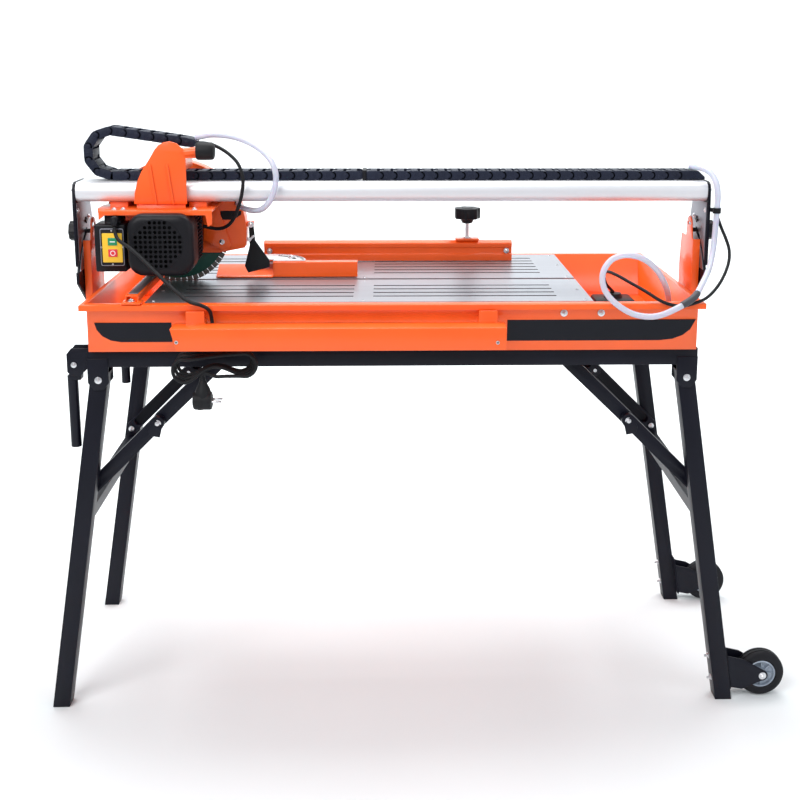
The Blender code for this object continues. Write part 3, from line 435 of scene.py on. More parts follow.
def build_camera():
    data = bpy.data.cameras.new("camera")
    data.sensor_width = 36.0
    data.lens = 51.08
    data.shift_x = -0.0145
    data.shift_y = -0.153
    data.clip_end = 60.0
    camera = linked("camera", data)
    camera.location = (-0.0781, -2.4274, 1.3651)
    camera.rotation_euler = [radians(a) for a in (CAMERA_PITCH, CAMERA_ROLL, CAMERA_TURN)]
    bpy.context.scene.camera = camera


def light(name, at, target, size, power, colour=(1, 1, 1)):
    data = bpy.data.lights.new(name, "AREA")
    data.shape = "RECTANGLE"
    data.size, data.size_y = size
    data.energy = power
    data.color = colour
    obj = linked(name, data)
    obj.location = at
    obj.rotation_euler = (Vector(target) - Vector(at)).to_track_quat("-Z", "Y").to_euler()


def build_studio():
    view = bpy.context.scene.view_settings
    view.view_transform = "Standard"
    view.look = "None"
    sky = bpy.data.worlds.new("studio")
    sky.use_nodes = True
    filled(sky.node_tree.nodes["Background"], Color=(0.93, 0.95, 1.0, 1), Strength=0.5)
    bpy.context.scene.world = sky
    light("key", (-1.8, -2.6, 3.2), (0, 0, 0.7), (2.2, 2.2), 95)
    light("fill", (2.6, -2.2, 1.8), (0, 0, 0.7), (2.0, 2.0), 24, (0.95, 0.97, 1.0))
    light("top", (0.0, 0.6, 3.4), (0, 0, 0.8), (3.2, 1.6), 100)
    light("backdrop", (0.0, 2.6, 5.2), (0, 9.0, 1.6), (10.0, 2.0), 900)
    build_floor()


def build_floor():
    """A wide floor that curves up into a wall far behind."""
    surface = look("floor_paint", (0.81, 0.842, 0.85), 0.75, vary=0.01, scale=2, grain=60,
                   bump=0.02)
    far, bend_y, bend, steps, top = 30.0, 7.0, 3.0, 12, 16.0
    angles = [pi / 2 * i / steps for i in range(1, steps + 1)]
    profile = [(-far, 0.0), (bend_y, 0.0),
               *[(bend_y + bend * sin(a), bend - bend * cos(a)) for a in angles],
               (bend_y + bend, top)]
    part = bmesh.new()
    rows = [[part.verts.new((x, y, z)) for x in (-far, far)] for y, z in profile]
    for (a, b), (c, d) in zip(rows, rows[1:]):
        part.faces.new((a, b, d, c)).smooth = True
    floor = linked("floor", mesh_of(part, "floor"))
    floor.data.materials.append(surface)


# ---- cords and hoses

LEAD = 0.0036
HOSE_RADIUS = 0.006
CABLE = 0.0033
LEAD_BRIDGE = (-0.408, -0.299, 0.9)

MOTOR_CABLE = [(-0.407, -0.08, 1.183), (-0.385, -0.106, 1.184), (-0.36, -0.133, 1.18),
               (-0.333, -0.155, 1.167), (-0.312, -0.168, 1.147), (-0.303, -0.173, 1.118),
               (-0.306, -0.17, 1.088), (-0.315, -0.16, 1.06), (-0.327, -0.143, 1.034),
               (-0.344, -0.126, 1.015), (-0.366, -0.115, 1.008), (-0.395, -0.112, 1.013)]
BLADE_HOSE = [(-0.407, -0.098, 1.195), (-0.368, -0.104, 1.201), (-0.32, -0.12, 1.196),
              (-0.278, -0.142, 1.18), (-0.248, -0.162, 1.155), (-0.237, -0.169, 1.124),
              (-0.242, -0.17, 1.092), (-0.253, -0.168, 1.069), (-0.272, -0.15, 1.052),
              (-0.297, -0.115, 1.047), (-0.318, -0.08, 1.048), (-0.329, -0.059, 1.053)]
MAINS_UPPER = [(-0.5545, -0.213, 1.0262), (-0.552, -0.217, 1.013), (-0.544, -0.226, 1.002),
               (-0.52, -0.243, 0.99), (-0.498, -0.254, 0.974), (-0.4765, -0.265, 0.956),
               (-0.45, -0.28, 0.934), (-0.426, -0.292, 0.915), LEAD_BRIDGE]
MAINS_LOWER = [LEAD_BRIDGE, (-0.392, -0.304, 0.8925), (-0.376, -0.306, 0.8885),
               (-0.363, -0.302, 0.881), (-0.3575, -0.293, 0.869), (-0.356, -0.2865, 0.85),
               (-0.351, -0.2815, 0.824), (-0.338, -0.278, 0.804)]
FEED_HOSE = [(0.62, -0.1, 1.1345), (0.635, -0.126, 1.1345), (0.6476, -0.1476, 1.1278),
             (0.6567, -0.1634, 1.1095), (0.6601, -0.1692, 1.0845), (0.66, -0.169, 1.052),
             (0.659, -0.169, 1.015), (0.654, -0.178, 0.975), (0.639, -0.21, 0.942),
             (0.615, -0.253, 0.919), (0.585, -0.3, 0.8985), (0.55, -0.312, 0.88),
             (0.51, -0.315, 0.865), (0.47, -0.312, 0.867), (0.435, -0.305, 0.885),
             (0.41, -0.301, 0.913), (0.405, -0.297, 0.945), (0.422, -0.292, 0.972),
             (0.453, -0.288, 0.981), (0.487, -0.282, 0.972), (0.515, -0.272, 0.95),
             (0.535, -0.258, 0.922), (0.55, -0.235, 0.893), (0.562, -0.195, 0.862),
             (0.565, -0.14, 0.833), (0.556, -0.084, 0.814), (0.536, -0.035, 0.807),
             (0.505, 0.0145, 0.808)]
PUMP_CABLE = [(0.666, -0.16, 1.034), (0.673, -0.165, 1.014), (0.681, -0.173, 0.993),
              (0.685, -0.185, 0.972), (0.678, -0.206, 0.947), (0.654, -0.24, 0.917),
              (0.62, -0.278, 0.896), (0.59, -0.296, 0.887), (0.56, -0.297, 0.881),
              (0.526, -0.296, 0.889), (0.495, -0.27, 0.906), (0.474, -0.22, 0.914),
              (0.458, -0.16, 0.918), (0.452, -0.1, 0.912), (0.458, -0.045, 0.89),
              (0.474, 0.005, 0.863), (0.49, 0.038, 0.846), (0.498, 0.057, 0.8375)]


def cord(name, route, radius, surface, nodes, bends=None, spacing=0.006,
         with_pieces=()):
    """A cord's tube along its route; when bends is given, the tube rides no body and its place is
    baked into its mesh.
    """
    path = [p + MACHINE for p in smooth_route(route, spacing)]
    piece = Piece(*nodes).add(tube(path, radius), surface, moved=False)
    obj = piece.place(name, rides=not bends)
    if bends:
        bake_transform(obj)


HANK_TURNS, HANK_STEPS = 4, 7
HANK_PITCH, HANK_FRONT = 0.0077, -0.274
HANK_HALF = 0.0235
HANK_LEAN = 18
HANK_PINCH = 0.011
HANK_LEFT, HANK_RIGHT, HANK_MIDDLE = -0.405, -0.305, 0.772


def hank_route():
    """The mains lead from the head down into its hank, round its turns and out to the plug."""
    route = list(MAINS_LOWER)
    waist = (HANK_LEFT + HANK_RIGHT) / 2
    sweep, steps = 180 + 2 * HANK_LEAN, HANK_STEPS
    for turn in range(HANK_TURNS):
        depth = HANK_FRONT - HANK_PITCH * turn
        droop = 0.007 + 0.0058 * turn
        spread = 0.0035 * turn
        for i in range(0 if turn else 1, steps + 1):
            angle = radians(90 + HANK_LEAN - sweep * i / steps)
            y = depth - HANK_PITCH * (0.05 + 0.3 * i / steps)
            route.append((HANK_RIGHT + spread + HANK_HALF * cos(angle), y,
                          HANK_MIDDLE - 0.002 * turn + HANK_HALF * sin(angle)))
        if turn == HANK_TURNS - 1:
            break
        route.append((waist, depth - HANK_PITCH * 0.42, HANK_MIDDLE - HANK_PINCH))
        for i in range(steps + 1):
            angle = radians(-90 + HANK_LEAN - sweep * i / steps)
            y = depth - HANK_PITCH * (0.5 + 0.3 * i / steps)
            route.append((HANK_LEFT - spread + HANK_HALF * cos(angle), y,
                          HANK_MIDDLE - droop + HANK_HALF * sin(angle)))
        route.append((waist, depth - HANK_PITCH * 0.92, HANK_MIDDLE + HANK_PINCH))
    return route + [(-0.33, -0.3005, 0.744), (-0.35, -0.299, 0.743),
                    (-0.366, -0.295, 0.748), (-0.377, -0.2905, 0.748)]


def build_cords():
    cord("motor_cable_run", MOTOR_CABLE, LEAD, RUBBER, ["motor_cable"])
    cord("blade_hose_run", BLADE_HOSE, HOSE_RADIUS, HOSE, ["blade_hose"])
    cord("mains_lead_from_head", MAINS_UPPER, LEAD, RUBBER, ["mains_lead_upper"],
         ("carriage", "bridge", MAINS_UPPER[1], MAINS_UPPER[-1]))
    cord("mains_lead_hank", hank_route(), LEAD, RUBBER, ["mains_lead_lower", "mains_hank"],
         ("bridge", "root", MAINS_LOWER[0], MAINS_LOWER[4]),
         with_pieces=[build_plug()])
    cord("feed_hose_run", FEED_HOSE, HOSE_RADIUS, HOSE, ["feed_hose"],
         ("bridge", "root", FEED_HOSE[5], FEED_HOSE[10]), spacing=0.008)
    cord("pump_cable_run", PUMP_CABLE, CABLE, RUBBER, ["pump_cable"],
         ("bridge", "root", PUMP_CABLE[2], PUMP_CABLE[6]), spacing=0.008)


def build_plug():
    """A moulded plug hanging below the hank, with a ribbed strain relief and two pins."""
    x, y, z = -0.378, -0.29, 0.6915
    piece = Piece("mains_plug")
    relief = [(0.0038, 0.7495), (0.005, 0.747), (0.0056, 0.743), (0.0046, 0.7415),
              (0.006, 0.7395), (0.005, 0.7375), (0.0068, 0.735), (0.0058, 0.733),
              (0.0078, 0.73), (0.0085, 0.7265), (0.011, 0.7215), (0.014, 0.715),
              (0.016, 0.708), (0.0165, 0.7), (0.01, 0.696)]
    body = [(0.012, -0.02), (0.0165, -0.0185), (0.0183, -0.015), (0.0185, 0.012),
            (0.0178, 0.016), (0.012, 0.018)]
    seam = [(0.0187, -0.01), (0.0194, -0.009), (0.0194, -0.002), (0.0187, -0.001)]
    pin = [(0.0022, 0.0165), (0.0024, 0.0175), (0.0024, 0.035), (0.0018, 0.0368),
           (0.0008, 0.0372)]
    piece.add(lathe(relief, (x, y, 0), "Z", 28), RUBBER)
    piece.add(lathe(body, (x, y, z), "X", 40), RUBBER)
    piece.add(ring(seam, (x, y, z), "X", 40), RUBBER)
    for side in (-1, 1):
        piece.add(lathe(pin, (x, y + side * 0.0095, z), "X", 16), STEEL)
    return piece.place("plug_moulding")


# ---- the stand

LEG_SPLAY = radians(9.1)
HIP = (0.593, 0.722)
KNEE = (0.487, 0.618)
AXLE = (0.792, 0.052)
WHEEL_Y = 0.22
FRONT_BACK = (("front", -1), ("back", 1))
LEFT_RIGHT = (("left", -1), ("right", 1))


def on_leg(side, down, across=0.0):
    """A place on a leg, measured down from its hip and across it."""
    x = HIP[0] + down * sin(LEG_SPLAY) + across * cos(LEG_SPLAY)
    z = HIP[1] - down * cos(LEG_SPLAY) + across * sin(LEG_SPLAY)
    return (side * x, z)


def build_stand():
    for name, end in FRONT_BACK:
        piece = refined(f"{name}_beam", NIGHT, 0.0009)
        outer, inner, shelf = end * 0.2498, end * 0.207, end * 0.169
        for side in (-1, 1):
            piece.bolts([(side * HIP[0], outer, HIP[1])], (0, end, 0), 0.005)
            piece.bolts([(side * HIP[0], inner, HIP[1])], (0, -end, 0), 0.005)
            piece.bolts([(side * 0.347, shelf, 0.754)], (0, -end, 0), 0.0048)
        piece.bolts([(-0.641, end * 0.2456, 0.753)], (0, end, 0), 0.004, 0.003)
        piece.place(f"{name}_beam_tube")
        refined(f"{name}_handle", NIGHT, 0.001).place(f"{name}_handle_bar")
    for name, side in LEFT_RIGHT:
        refined(f"{name}_cross_beam", NIGHT, 0.0012).place(f"{name}_cross_tube")
        piece = refined(f"{name}_leg_frame", NIGHT, 0.0009)
        for end in (-1, 1):
            x, z = on_leg(side, 0.253)
            piece.bolts([(x, end * 0.189, z)], (0, -end, 0), 0.0046)
        if side > 0:
            add_fork_bolts(piece)
        piece.place(f"{name}_leg_tubes")
        for end_name, end in FRONT_BACK:
            build_brace(f"{name}_{end_name}", side, end)


def add_fork_bolts(piece):
    """The bolts of the wheel forks and the wheels' axles."""
    inward = Vector((-cos(LEG_SPLAY), 0, -sin(LEG_SPLAY)))
    for end in (-1, 1):
        for down in (0.632, 0.684):
            x, z = on_leg(1, down, -0.0175)
            at = Vector((x, end * 0.2285, z))
            piece.add(rod(at, at + inward * 0.009, 0.0026, 12), STEEL)
            piece.bolts([at], inward, 0.0046, 0.004)
        y = end * WHEEL_Y
        for face in (-1, 1):
            piece.bolts([(AXLE[0], y + face * 0.0212, AXLE[1])], (0, face, 0), 0.0056, 0.0035)
        piece.add(rod((AXLE[0], y - 0.021, AXLE[1]), (AXLE[0], y + 0.021, AXLE[1]), 0.004, 16),
                  STEEL)


def build_brace(corner, side, end):
    """One corner's two brace links, with the knee's bolt and its latch on the lower one."""
    lower = refined(f"{corner}_lower_brace", NIGHT)
    x, z = side * KNEE[0], KNEE[1]
    lower.bolts([(x, end * 0.211, z)], (0, end, 0), 0.0052)
    lower.add(rod((x, end * 0.2105, z), (x, end * 0.17, z), 0.0042, 16), STEEL)
    latch = [(x + side * across, z + up) for across, up in
             ((-0.004, -0.03), (0.016, -0.026), (0.02, -0.012), (0.004, 0.01), (-0.01, -0.006))]
    latch_y, half = end * 0.2112, 0.0012
    lower.add(prism(latch, latch_y - half, latch_y + half, 0.0005), NIGHT)
    lower.place(f"{corner}_lower_link")
    refined(f"{corner}_upper_brace", NIGHT).place(f"{corner}_upper_link")


def mirrored(half):
    """A turned outline of (radius, place) from its one half, the other half reversed."""
    return half + [(radius, -along) for radius, along in reversed(half)]


def build_wheels():
    tyre = mirrored([(0.03, 0.0125), (0.033, 0.0148), (0.04, 0.015), (0.0445, 0.0144),
                     (0.0482, 0.012), (0.0496, 0.009), (0.0499, 0.0062), (0.048, 0.0058),
                     (0.048, 0.0042), (0.05, 0.0038)])
    hub = mirrored([(0.0305, 0.013), (0.029, 0.0142), (0.0272, 0.0138), (0.0255, 0.008),
                    (0.018, 0.005), (0.013, 0.006), (0.0115, 0.013), (0.006, 0.013),
                    (0.0045, 0.012)])
    spokes = 8
    for name, end in FRONT_BACK:
        centre = (AXLE[0], end * WHEEL_Y, AXLE[1])
        piece = Piece(f"{name}_wheel")
        piece.add(ring(tyre, centre, "Y", 72), TYRE)
        piece.add(ring(hub, centre, "Y", 56), HUB)
        for i in range(spokes):
            turn = Matrix.Translation(centre) @ Matrix.Rotation(2 * pi * i / spokes, 4, "Y")
            for y0, y1 in ((-0.0105, -0.004), (0.004, 0.0105)):
                rib = box((0.012, y0, -0.001), (0.0268, y1, 0.001), 0.0003)
                piece.add(rib, HUB, turn)
        piece.place(f"{name}_wheel_tyre")


# ---- the tray and what stands in it

TRAY_FOOT, TRAY_RIM = 0.7848, 0.883
WALL_FOOT_Y, WALL_LEAN = 0.261, 0.011
DECAL_THICK = 0.0004
PROTRACTOR = (-0.267, 0.0)
STOP_X, STOP_Y = 0.1755, 0.184


def wall_y(z):
    """The front wall's outer face leans out towards its top."""
    return -(WALL_FOOT_Y + WALL_LEAN * (z - TRAY_FOOT) / (TRAY_RIM - TRAY_FOOT)) - 0.0009


def decal(points):
    """A thin sheet on the front wall's outer face."""
    part = prism(points, 0.0, DECAL_THICK)
    for vert in part.verts:
        vert.co.y = wall_y(vert.co.z) - 0.0001 - vert.co.y
    bmesh.ops.recalc_face_normals(part, faces=part.faces)
    return part


def build_tray():
    piece = refined("tray", ORANGE, 0.0005, 1)
    left = [(-0.59, 0.845), (-0.586, 0.83), (-0.576, 0.817), (-0.56, 0.808),
            (-0.54, 0.8045), (-0.439, 0.8045), (-0.439, 0.845)]
    right = [(0.224, 0.804), (0.53, 0.804), (0.556, 0.807), (0.576, 0.815),
             (0.59, 0.827), (0.6, 0.848), (0.224, 0.848)]
    for outline in (left, right):
        piece.add(decal(outline), DECAL)
    front = wall_y(0.862) - 0.0004
    piece.bolts([(x, front, 0.862) for x in (0.336, 0.41)], (0, -1, 0), 0.005, 0.003)
    piece.bolts([(x, 0.272, 0.862) for x in (-0.45, 0.45)], (0, 1, 0), 0.005, 0.003)
    piece.place("tray_sheet")
    for name in ("table_front_plate", "table_back_plate"):
        build_table_plate(name)
    for name, side in LEFT_RIGHT:
        piece = refined(f"{name}_post", ORANGE, 0.0006)
        piece.bolts([(side * 0.6554, -0.035, 0.885)], (side, 0, 0), 0.007, 0.004)
        piece.place(f"{name}_upright")
    piece = refined("back_guide_rail", ORANGE, 0.0006)
    piece.bolts([(x, 0.175, 0.9105) for x in (-0.288, 0.268)], (0, -1, 0), 0.0045, 0.003)
    piece.place("back_guide_channel")
    piece = refined("left_end_guide", ORANGE, 0.0006)
    piece.bolts([(-0.514, -0.276, 0.89)], (0, 0, 1), 0.0052, 0.004)
    piece.add(box((-0.523, -0.256, 0.8998), (-0.505, -0.06, 0.901), 0.0003), PLATE)
    piece.place("left_end_rest")
    build_guide_stop()
    refined("mitre_fence", ORANGE, 0.0005).place("mitre_fence_sheet")
    build_protractor()
    build_pump()
    piece = refined("side_table", ORANGE)
    piece.screws([(-0.4165, -0.345, 0.824), (0.198, -0.345, 0.821)], (0, -1, 0), 0.004)
    for x in (-0.387, 0.183):
        piece.add(rod((x, -0.3005, 0.84), (x, -0.306, 0.84), 0.005, 16), STEEL)
    piece.place("side_table_sheet")


def build_table_plate(name):
    """A slotted plate: the slots' sheared walls carry painted shade, a near-black colour for the
    shade inside the slots, and screws hold it down.
    """
    piece = refined(name, TABLE, 0.0)
    piece.looks.append(SLOT_SHADE)
    low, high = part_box(name)
    inset = 0.004
    for face in piece.mesh.faces:
        middle = face.calc_center_median()
        inside = (low.x + inset < middle.x < high.x - inset
                  and low.y + inset < middle.y < high.y - inset)
        # Painted shade: faces inside the slots get the near-black slot-wall colour.
        if abs(face.normal.z) < 0.5 and inside:
            face.material_index = piece.looks.index(SLOT_SHADE)
    mid_x, mid_y = -0.062, (low.y + high.y) / 2
    for x in (-0.475, mid_x, 0.38):
        for y in (low.y + 0.012, mid_y, high.y - 0.012):
            if (x, y) != (mid_x, mid_y):
                piece.screws([(x, y - MACHINE.y, 0.885)], (0, 0, 1), 0.0034)
    piece.place(name + "_sheet")


def build_guide_stop():
    piece = refined("guide_stop", ORANGE, 0.0006)
    low = (STOP_X, STOP_Y, 0.9385)
    piece.add(rod(low, (STOP_X, STOP_Y, 0.943), 0.0085, 24, soften=0.0006), STEEL)
    piece.add(rod(low, (STOP_X, STOP_Y, 0.9748), 0.0043, 20), STEEL)
    piece.place("guide_stop_clamp")
    piece = refined("guide_stop_knob", PLASTIC, 0.0022, 3)
    piece.add(rod((STOP_X, STOP_Y, 1.0105), (STOP_X, STOP_Y, 1.0122), 0.015, 32, 0.013), PLASTIC)
    piece.place("guide_stop_handle")


def build_protractor():
    """A scale of ticks every 5 degrees, longer every 15, and a slot with its clamp; the slot is a
    thin dark sheet of painted shade.
    """
    piece = refined("protractor", STEEL, 0.0003)
    x, y = PROTRACTOR
    for i in range(24):
        angle = radians(i * 5)
        inner = 0.0665 if i % 3 else 0.0625
        a, b = (Vector((x + r * cos(angle), y + r * sin(angle), 0.92125)) for r in (inner, 0.0725))
        if a.x >= -0.258:
            piece.add(tube([a, b], 0.00035, 6), RUBBER)
    # Painted shade: the slot is not cut but drawn as a thin dark sheet on the top face.
    slot = arc(PROTRACTOR, 0.056, 12, 78, 12) + arc(PROTRACTOR, 0.048, 78, 12, 12)
    piece.add(prism(slot, 0.92115, 0.92135, plane=TO_XY), RUBBER)
    angle = radians(38)
    clamp = (x + 0.052 * cos(angle), y + 0.052 * sin(angle), 0.9214)
    piece.bolts([clamp], (0, 0, 1), 0.0055, 0.004)
    piece.place("protractor_scale")


def build_pump():
    """A small submersible pump with ribs, its outlet and its cable's gland."""
    piece = refined("pump", PLASTIC, 0.0006)
    for i in range(4):
        z = 0.793 + 0.006 * i
        piece.add(box((0.4545, 0.0193, z), (0.5455, 0.0957, z + 0.0024), 0.0007), PLASTIC)
    piece.add(rod((0.505, 0.0205, 0.808), (0.505, 0.013, 0.808), 0.0064, 20, 0.0056), PLASTIC)
    piece.add(rod((0.498, 0.057, 0.8325), (0.498, 0.057, 0.8385), 0.0055, 16, 0.004), RUBBER)
    piece.place("pump_case")


# ---- the bridge

CHAIN_MID_Y = -0.086
CHAIN_HALF_Y = 0.029
LINK_HIGH = 0.0185
RAIL_TOP = 1.109
LOOP = (-0.58, 1.164)
LOOP_MID = 0.055 - LINK_HIGH / 2
TILT = (-0.035, 0.885)
LOCK = (-0.087, 1.0)
LOCK_SLOT_HALF = 0.006
CHEEK_X = 0.644
LINING_THICK = 0.0012


def chain_link(length):
    """One link along +x from the origin, its middle at z = 0 and y = 0."""
    half = LINK_HIGH / 2
    parts = []
    for side in (-1, 1):
        outer = [(0.0, -half + 0.0008), (length * 0.2, -half), (length * 0.98, -half),
                 *arc((length, 0), half - 0.0004, -90, 90, 8), (length * 0.98, half),
                 (length * 0.2, half), (0.0, half - 0.0008)]
        y_out, y_in = side * CHAIN_HALF_Y, side * (CHAIN_HALF_Y - 0.0026)
        parts.append(prism(outer, *sorted((y_out, y_in)), 0.0005))
        inner = [*arc((0, 0), half - 0.001, 90, 270, 8), (length * 0.55, -half + 0.001),
                 (length * 0.55, half - 0.001)]
        y_deep = side * (CHAIN_HALF_Y - 0.0054)
        parts.append(prism(inner, *sorted((y_in - side * 0.0002, y_deep))))
        for radius, out in ((0.0056, 0.0005), (0.003, 0.001)):
            parts.append(rod((length, y_out - side * 0.001, 0), (length, y_out + side * out, 0),
                             radius, 20, soften=0.0003))
        y_low, y_high = sorted((y_out - side * 0.002, y_out + side * 0.0003))
        parts.append(box((length * 0.44, y_low, -0.005), (length * 0.6, y_high, 0.005), 0.0006))
    for face in (-1, 1):
        for x0, x1, inset, high, low, radius in ((0.3, 0.78, 0.002, half, half - 0.0026, 0.0007),
                                                 (-0.02, 0.3, 0.006, half - 0.002, half - 0.004,
                                                  0.0005)):
            z0, z1 = sorted((face * high, face * low))
            y = CHAIN_HALF_Y - inset
            parts.append(box((length * x0, -y, z0), (length * x1, y, z1), radius))
    return merged(parts)


def add_chain(piece, points):
    """Links between the points, each turned to face the next."""
    for (x0, z0), (x1, z1) in zip(points, points[1:]):
        length = hypot(x1 - x0, z1 - z0)
        turn = Matrix.Rotation(-atan2(z1 - z0, x1 - x0), 4, "Y")
        piece.add(chain_link(length), CHAIN, Matrix.Translation((x0, CHAIN_MID_Y, z0)) @ turn)
    return piece


def evenly(start, end, count):
    return [tuple(a + (b - a) * i / count for a, b in zip(start, end)) for i in range(count + 1)]


def build_chain():
    low, top = RAIL_TOP + LINK_HIGH / 2, LOOP[1] + LOOP_MID
    run = add_chain(Piece("chain_lower_run"), evenly((LOOP[0] + 0.004, low), (-0.07, low), 18))
    run = run.place("chain_lower_links")
    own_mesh(run)
    fixed = add_chain(Piece("chain_fixed_run"), evenly((-0.056, low), (0.62, low), 24))
    fixed.add(box((-0.064, -0.1172, 1.1088), (-0.056, -0.0548, 1.129), 0.001), PLASTIC)
    ramp = [(0.618, 1.1095), (0.6475, 1.1095), (0.6475, 1.115), (0.634, 1.1272),
            (0.618, 1.1272)]
    fixed.add(prism(ramp, -0.1145, -0.0575, 0.001), CHAIN)
    fixed.place("chain_fixed_links")
    add_chain(Piece("chain_loop"), arc(LOOP, LOOP_MID, 270, 90, 5)).place("chain_loop_links")
    upper = evenly((LOOP[0] + 0.001, top), (-0.44, 1.1893), 5) + [(-0.422, 1.1862)]
    piece = add_chain(Piece("chain_upper_run"), upper)
    end = [(-0.426, 1.196), (-0.411, 1.1932), (-0.406, 1.1905), (-0.406, 1.179),
           (-0.411, 1.1755), (-0.426, 1.178)]
    piece.add(prism(end, -0.1148, -0.0572, 0.0012), CHAIN)
    piece = piece.place("chain_upper_links", rides=False)
    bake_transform(piece)


def build_bridge():
    refined("guide_rail", RAIL, 0.0004, 1, 60).place("guide_rail_extrusion")
    for name, side in LEFT_RIGHT:
        build_end_plate(name, side)
    for name, side in LEFT_RIGHT:
        keeper = Piece()
        x0, x1 = sorted((side * 0.6426, side * 0.6408))
        keeper.add(box((x0, -0.098, 1.02), (x1, -0.076, 1.025), 0.0008), PLASTIC)
        keeper.add(box((x0, -0.0895, 1.016), (x1, -0.0845, 1.03), 0.0008), PLASTIC)
        keeper.place(f"{name}_lock_keeper", "bridge", "black_plastic")
    add_hose_fixings()


TAPED_POINTS, TAPED_PART = slice(8, 12), slice(16, 25)


def add_hose_fixings():
    """A band of tape on the feed hose's fall, and the clip that holds it to the end plate."""
    path = [p + MACHINE for p in smooth_route(FEED_HOSE[TAPED_POINTS], 0.006)][TAPED_PART]
    band = Piece().add(tube(path, HOSE_RADIUS + 0.0011, 18), TAPE, moved=False)
    band.place("hose_tape", "root")
    inner, outer, half = HOSE_RADIUS + 0.0001, HOSE_RADIUS + 0.0022, 0.0055
    clip = Piece()
    clip.add(ring([(inner, -half), (outer, -half), (outer, half), (inner, half)], FEED_HOSE[5],
                  "Z", 28), PLASTIC)
    clip.add(box((0.65, -0.164, 1.048), (0.656, -0.153, 1.056), 0.0008), PLASTIC)
    clip.place("hose_clip", "bridge", "black_plastic")


def build_end_plate(name, side):
    """An end plate, its lining with the lock's curved slot, and its lock knob."""
    piece = refined(f"{name}_end_plate", NIGHT)
    inner, outer = side * CHEEK_X, side * 0.6504
    lined = inner - side * LINING_THICK
    piece.bolts([(outer, -0.143, 1.092), (outer, -0.068, 1.09)], (side, 0, 0), 0.0042, 0.003)
    piece.bolts([(lined, -0.146, 1.05), (lined, -0.064, 1.028)], (-side, 0, 0), 0.0036, 0.0022)
    piece.place(f"{name}_end_cheek")
    outline = [(-0.06, 0.925), (-0.004, 0.925), (-0.047, 1.066), (-0.152, 1.066),
               (-0.152, 0.925)]
    lining = prism(outline, *sorted((inner, lined)), 0.0003, TO_YZ)
    lining = Piece().add(lining, PLATE).place(f"{name}_end_lining", "bridge", "plate_metal")
    reach = Vector(LOCK) - Vector(TILT)
    start = degrees(atan2(reach.y, reach.x)) - 3
    slot = (arc(TILT, reach.length + LOCK_SLOT_HALF, start, start + 51, 10)
            + arc(TILT, reach.length - LOCK_SLOT_HALF, start + 51, start, 10))
    cut(lining, prism(slot, side * 0.6445 - 0.004, side * 0.6445 + 0.004, plane=TO_YZ))
    knob = refined(f"{name}_lock_knob", PLASTIC, 0.0016, 3, 40)
    knob.add(rod((side * 0.6755, *LOCK), (side * 0.6775, *LOCK), 0.01, 28, 0.0085), PLASTIC)
    knob.place(f"{name}_lock_handle")


# ---- the head

SPINDLE_X, SPINDLE_Z = -0.464, 0.994
FAN_X, FAN_Z = -0.468, 0.993
GRILLE_RADIUS, GRILLE_PITCH, GRILLE_HOLE = 0.0475, 0.0097, 0.0036
FLAP_PIVOT_X = -0.309
PANEL_Y = -0.204
BUTTON_FRONT = -0.207
START_Z, STOP_Z = 0.996, 0.973


def build_head():
    piece = refined("carriage_plate", ORANGE)
    for top, foot in ((-0.4886, -0.479), (-0.4543, -0.4449)):
        bead = [(top, -0.1684, 1.145), (top + 0.0008, -0.1698, 1.14),
                ((top + foot) / 2, -0.1702, 1.107), (foot, -0.1698, 1.0718),
                (foot + 0.0006, -0.1684, 1.068)]
        piece.add(tube(smooth_route(bead, 0.004), 0.003, 12), ORANGE)
    piece.place("carriage_front")
    piece = refined("carriage_bracket", ORANGE)
    piece.bolts([(x, -0.185, 1.0577) for x in (-0.56, -0.542, -0.4)], (0, 0, 1), 0.0042,
                0.0034)
    piece.bolts([(-0.464, -0.17, 1.0532)], (0, 0, -1), 0.005, 0.0035)
    lip = [(-0.588, 1.0385), (-0.588, 1.057), (-0.363, 1.057), (-0.363, 1.03),
           (-0.372, 1.025), (-0.376, 1.048), (-0.576, 1.048)]
    piece.add(prism(lip, -0.201, -0.1985, 0.0006), ORANGE)
    piece.place("carriage_base")
    grip = Piece("hand_grip")
    sleeve = [(0.01, -0.0185), (0.0162, -0.0178), (0.0178, -0.015), (0.0182, -0.006),
              (0.018, 0.006), (0.0176, 0.013), (0.016, 0.0165), (0.011, 0.0185)]
    grip.add(lathe(sleeve, (-0.377, -0.1665, 1.173), "X", 32), RUBBER)
    grip.add(rod((-0.419, -0.166, 1.17), (-0.39, -0.1665, 1.173), 0.009, 20), ORANGE)
    grip.place("hand_grip_sleeve")
    build_motor()
    build_fan_cover()
    build_guard()
    build_blade()
    build_flap()
    build_switch()


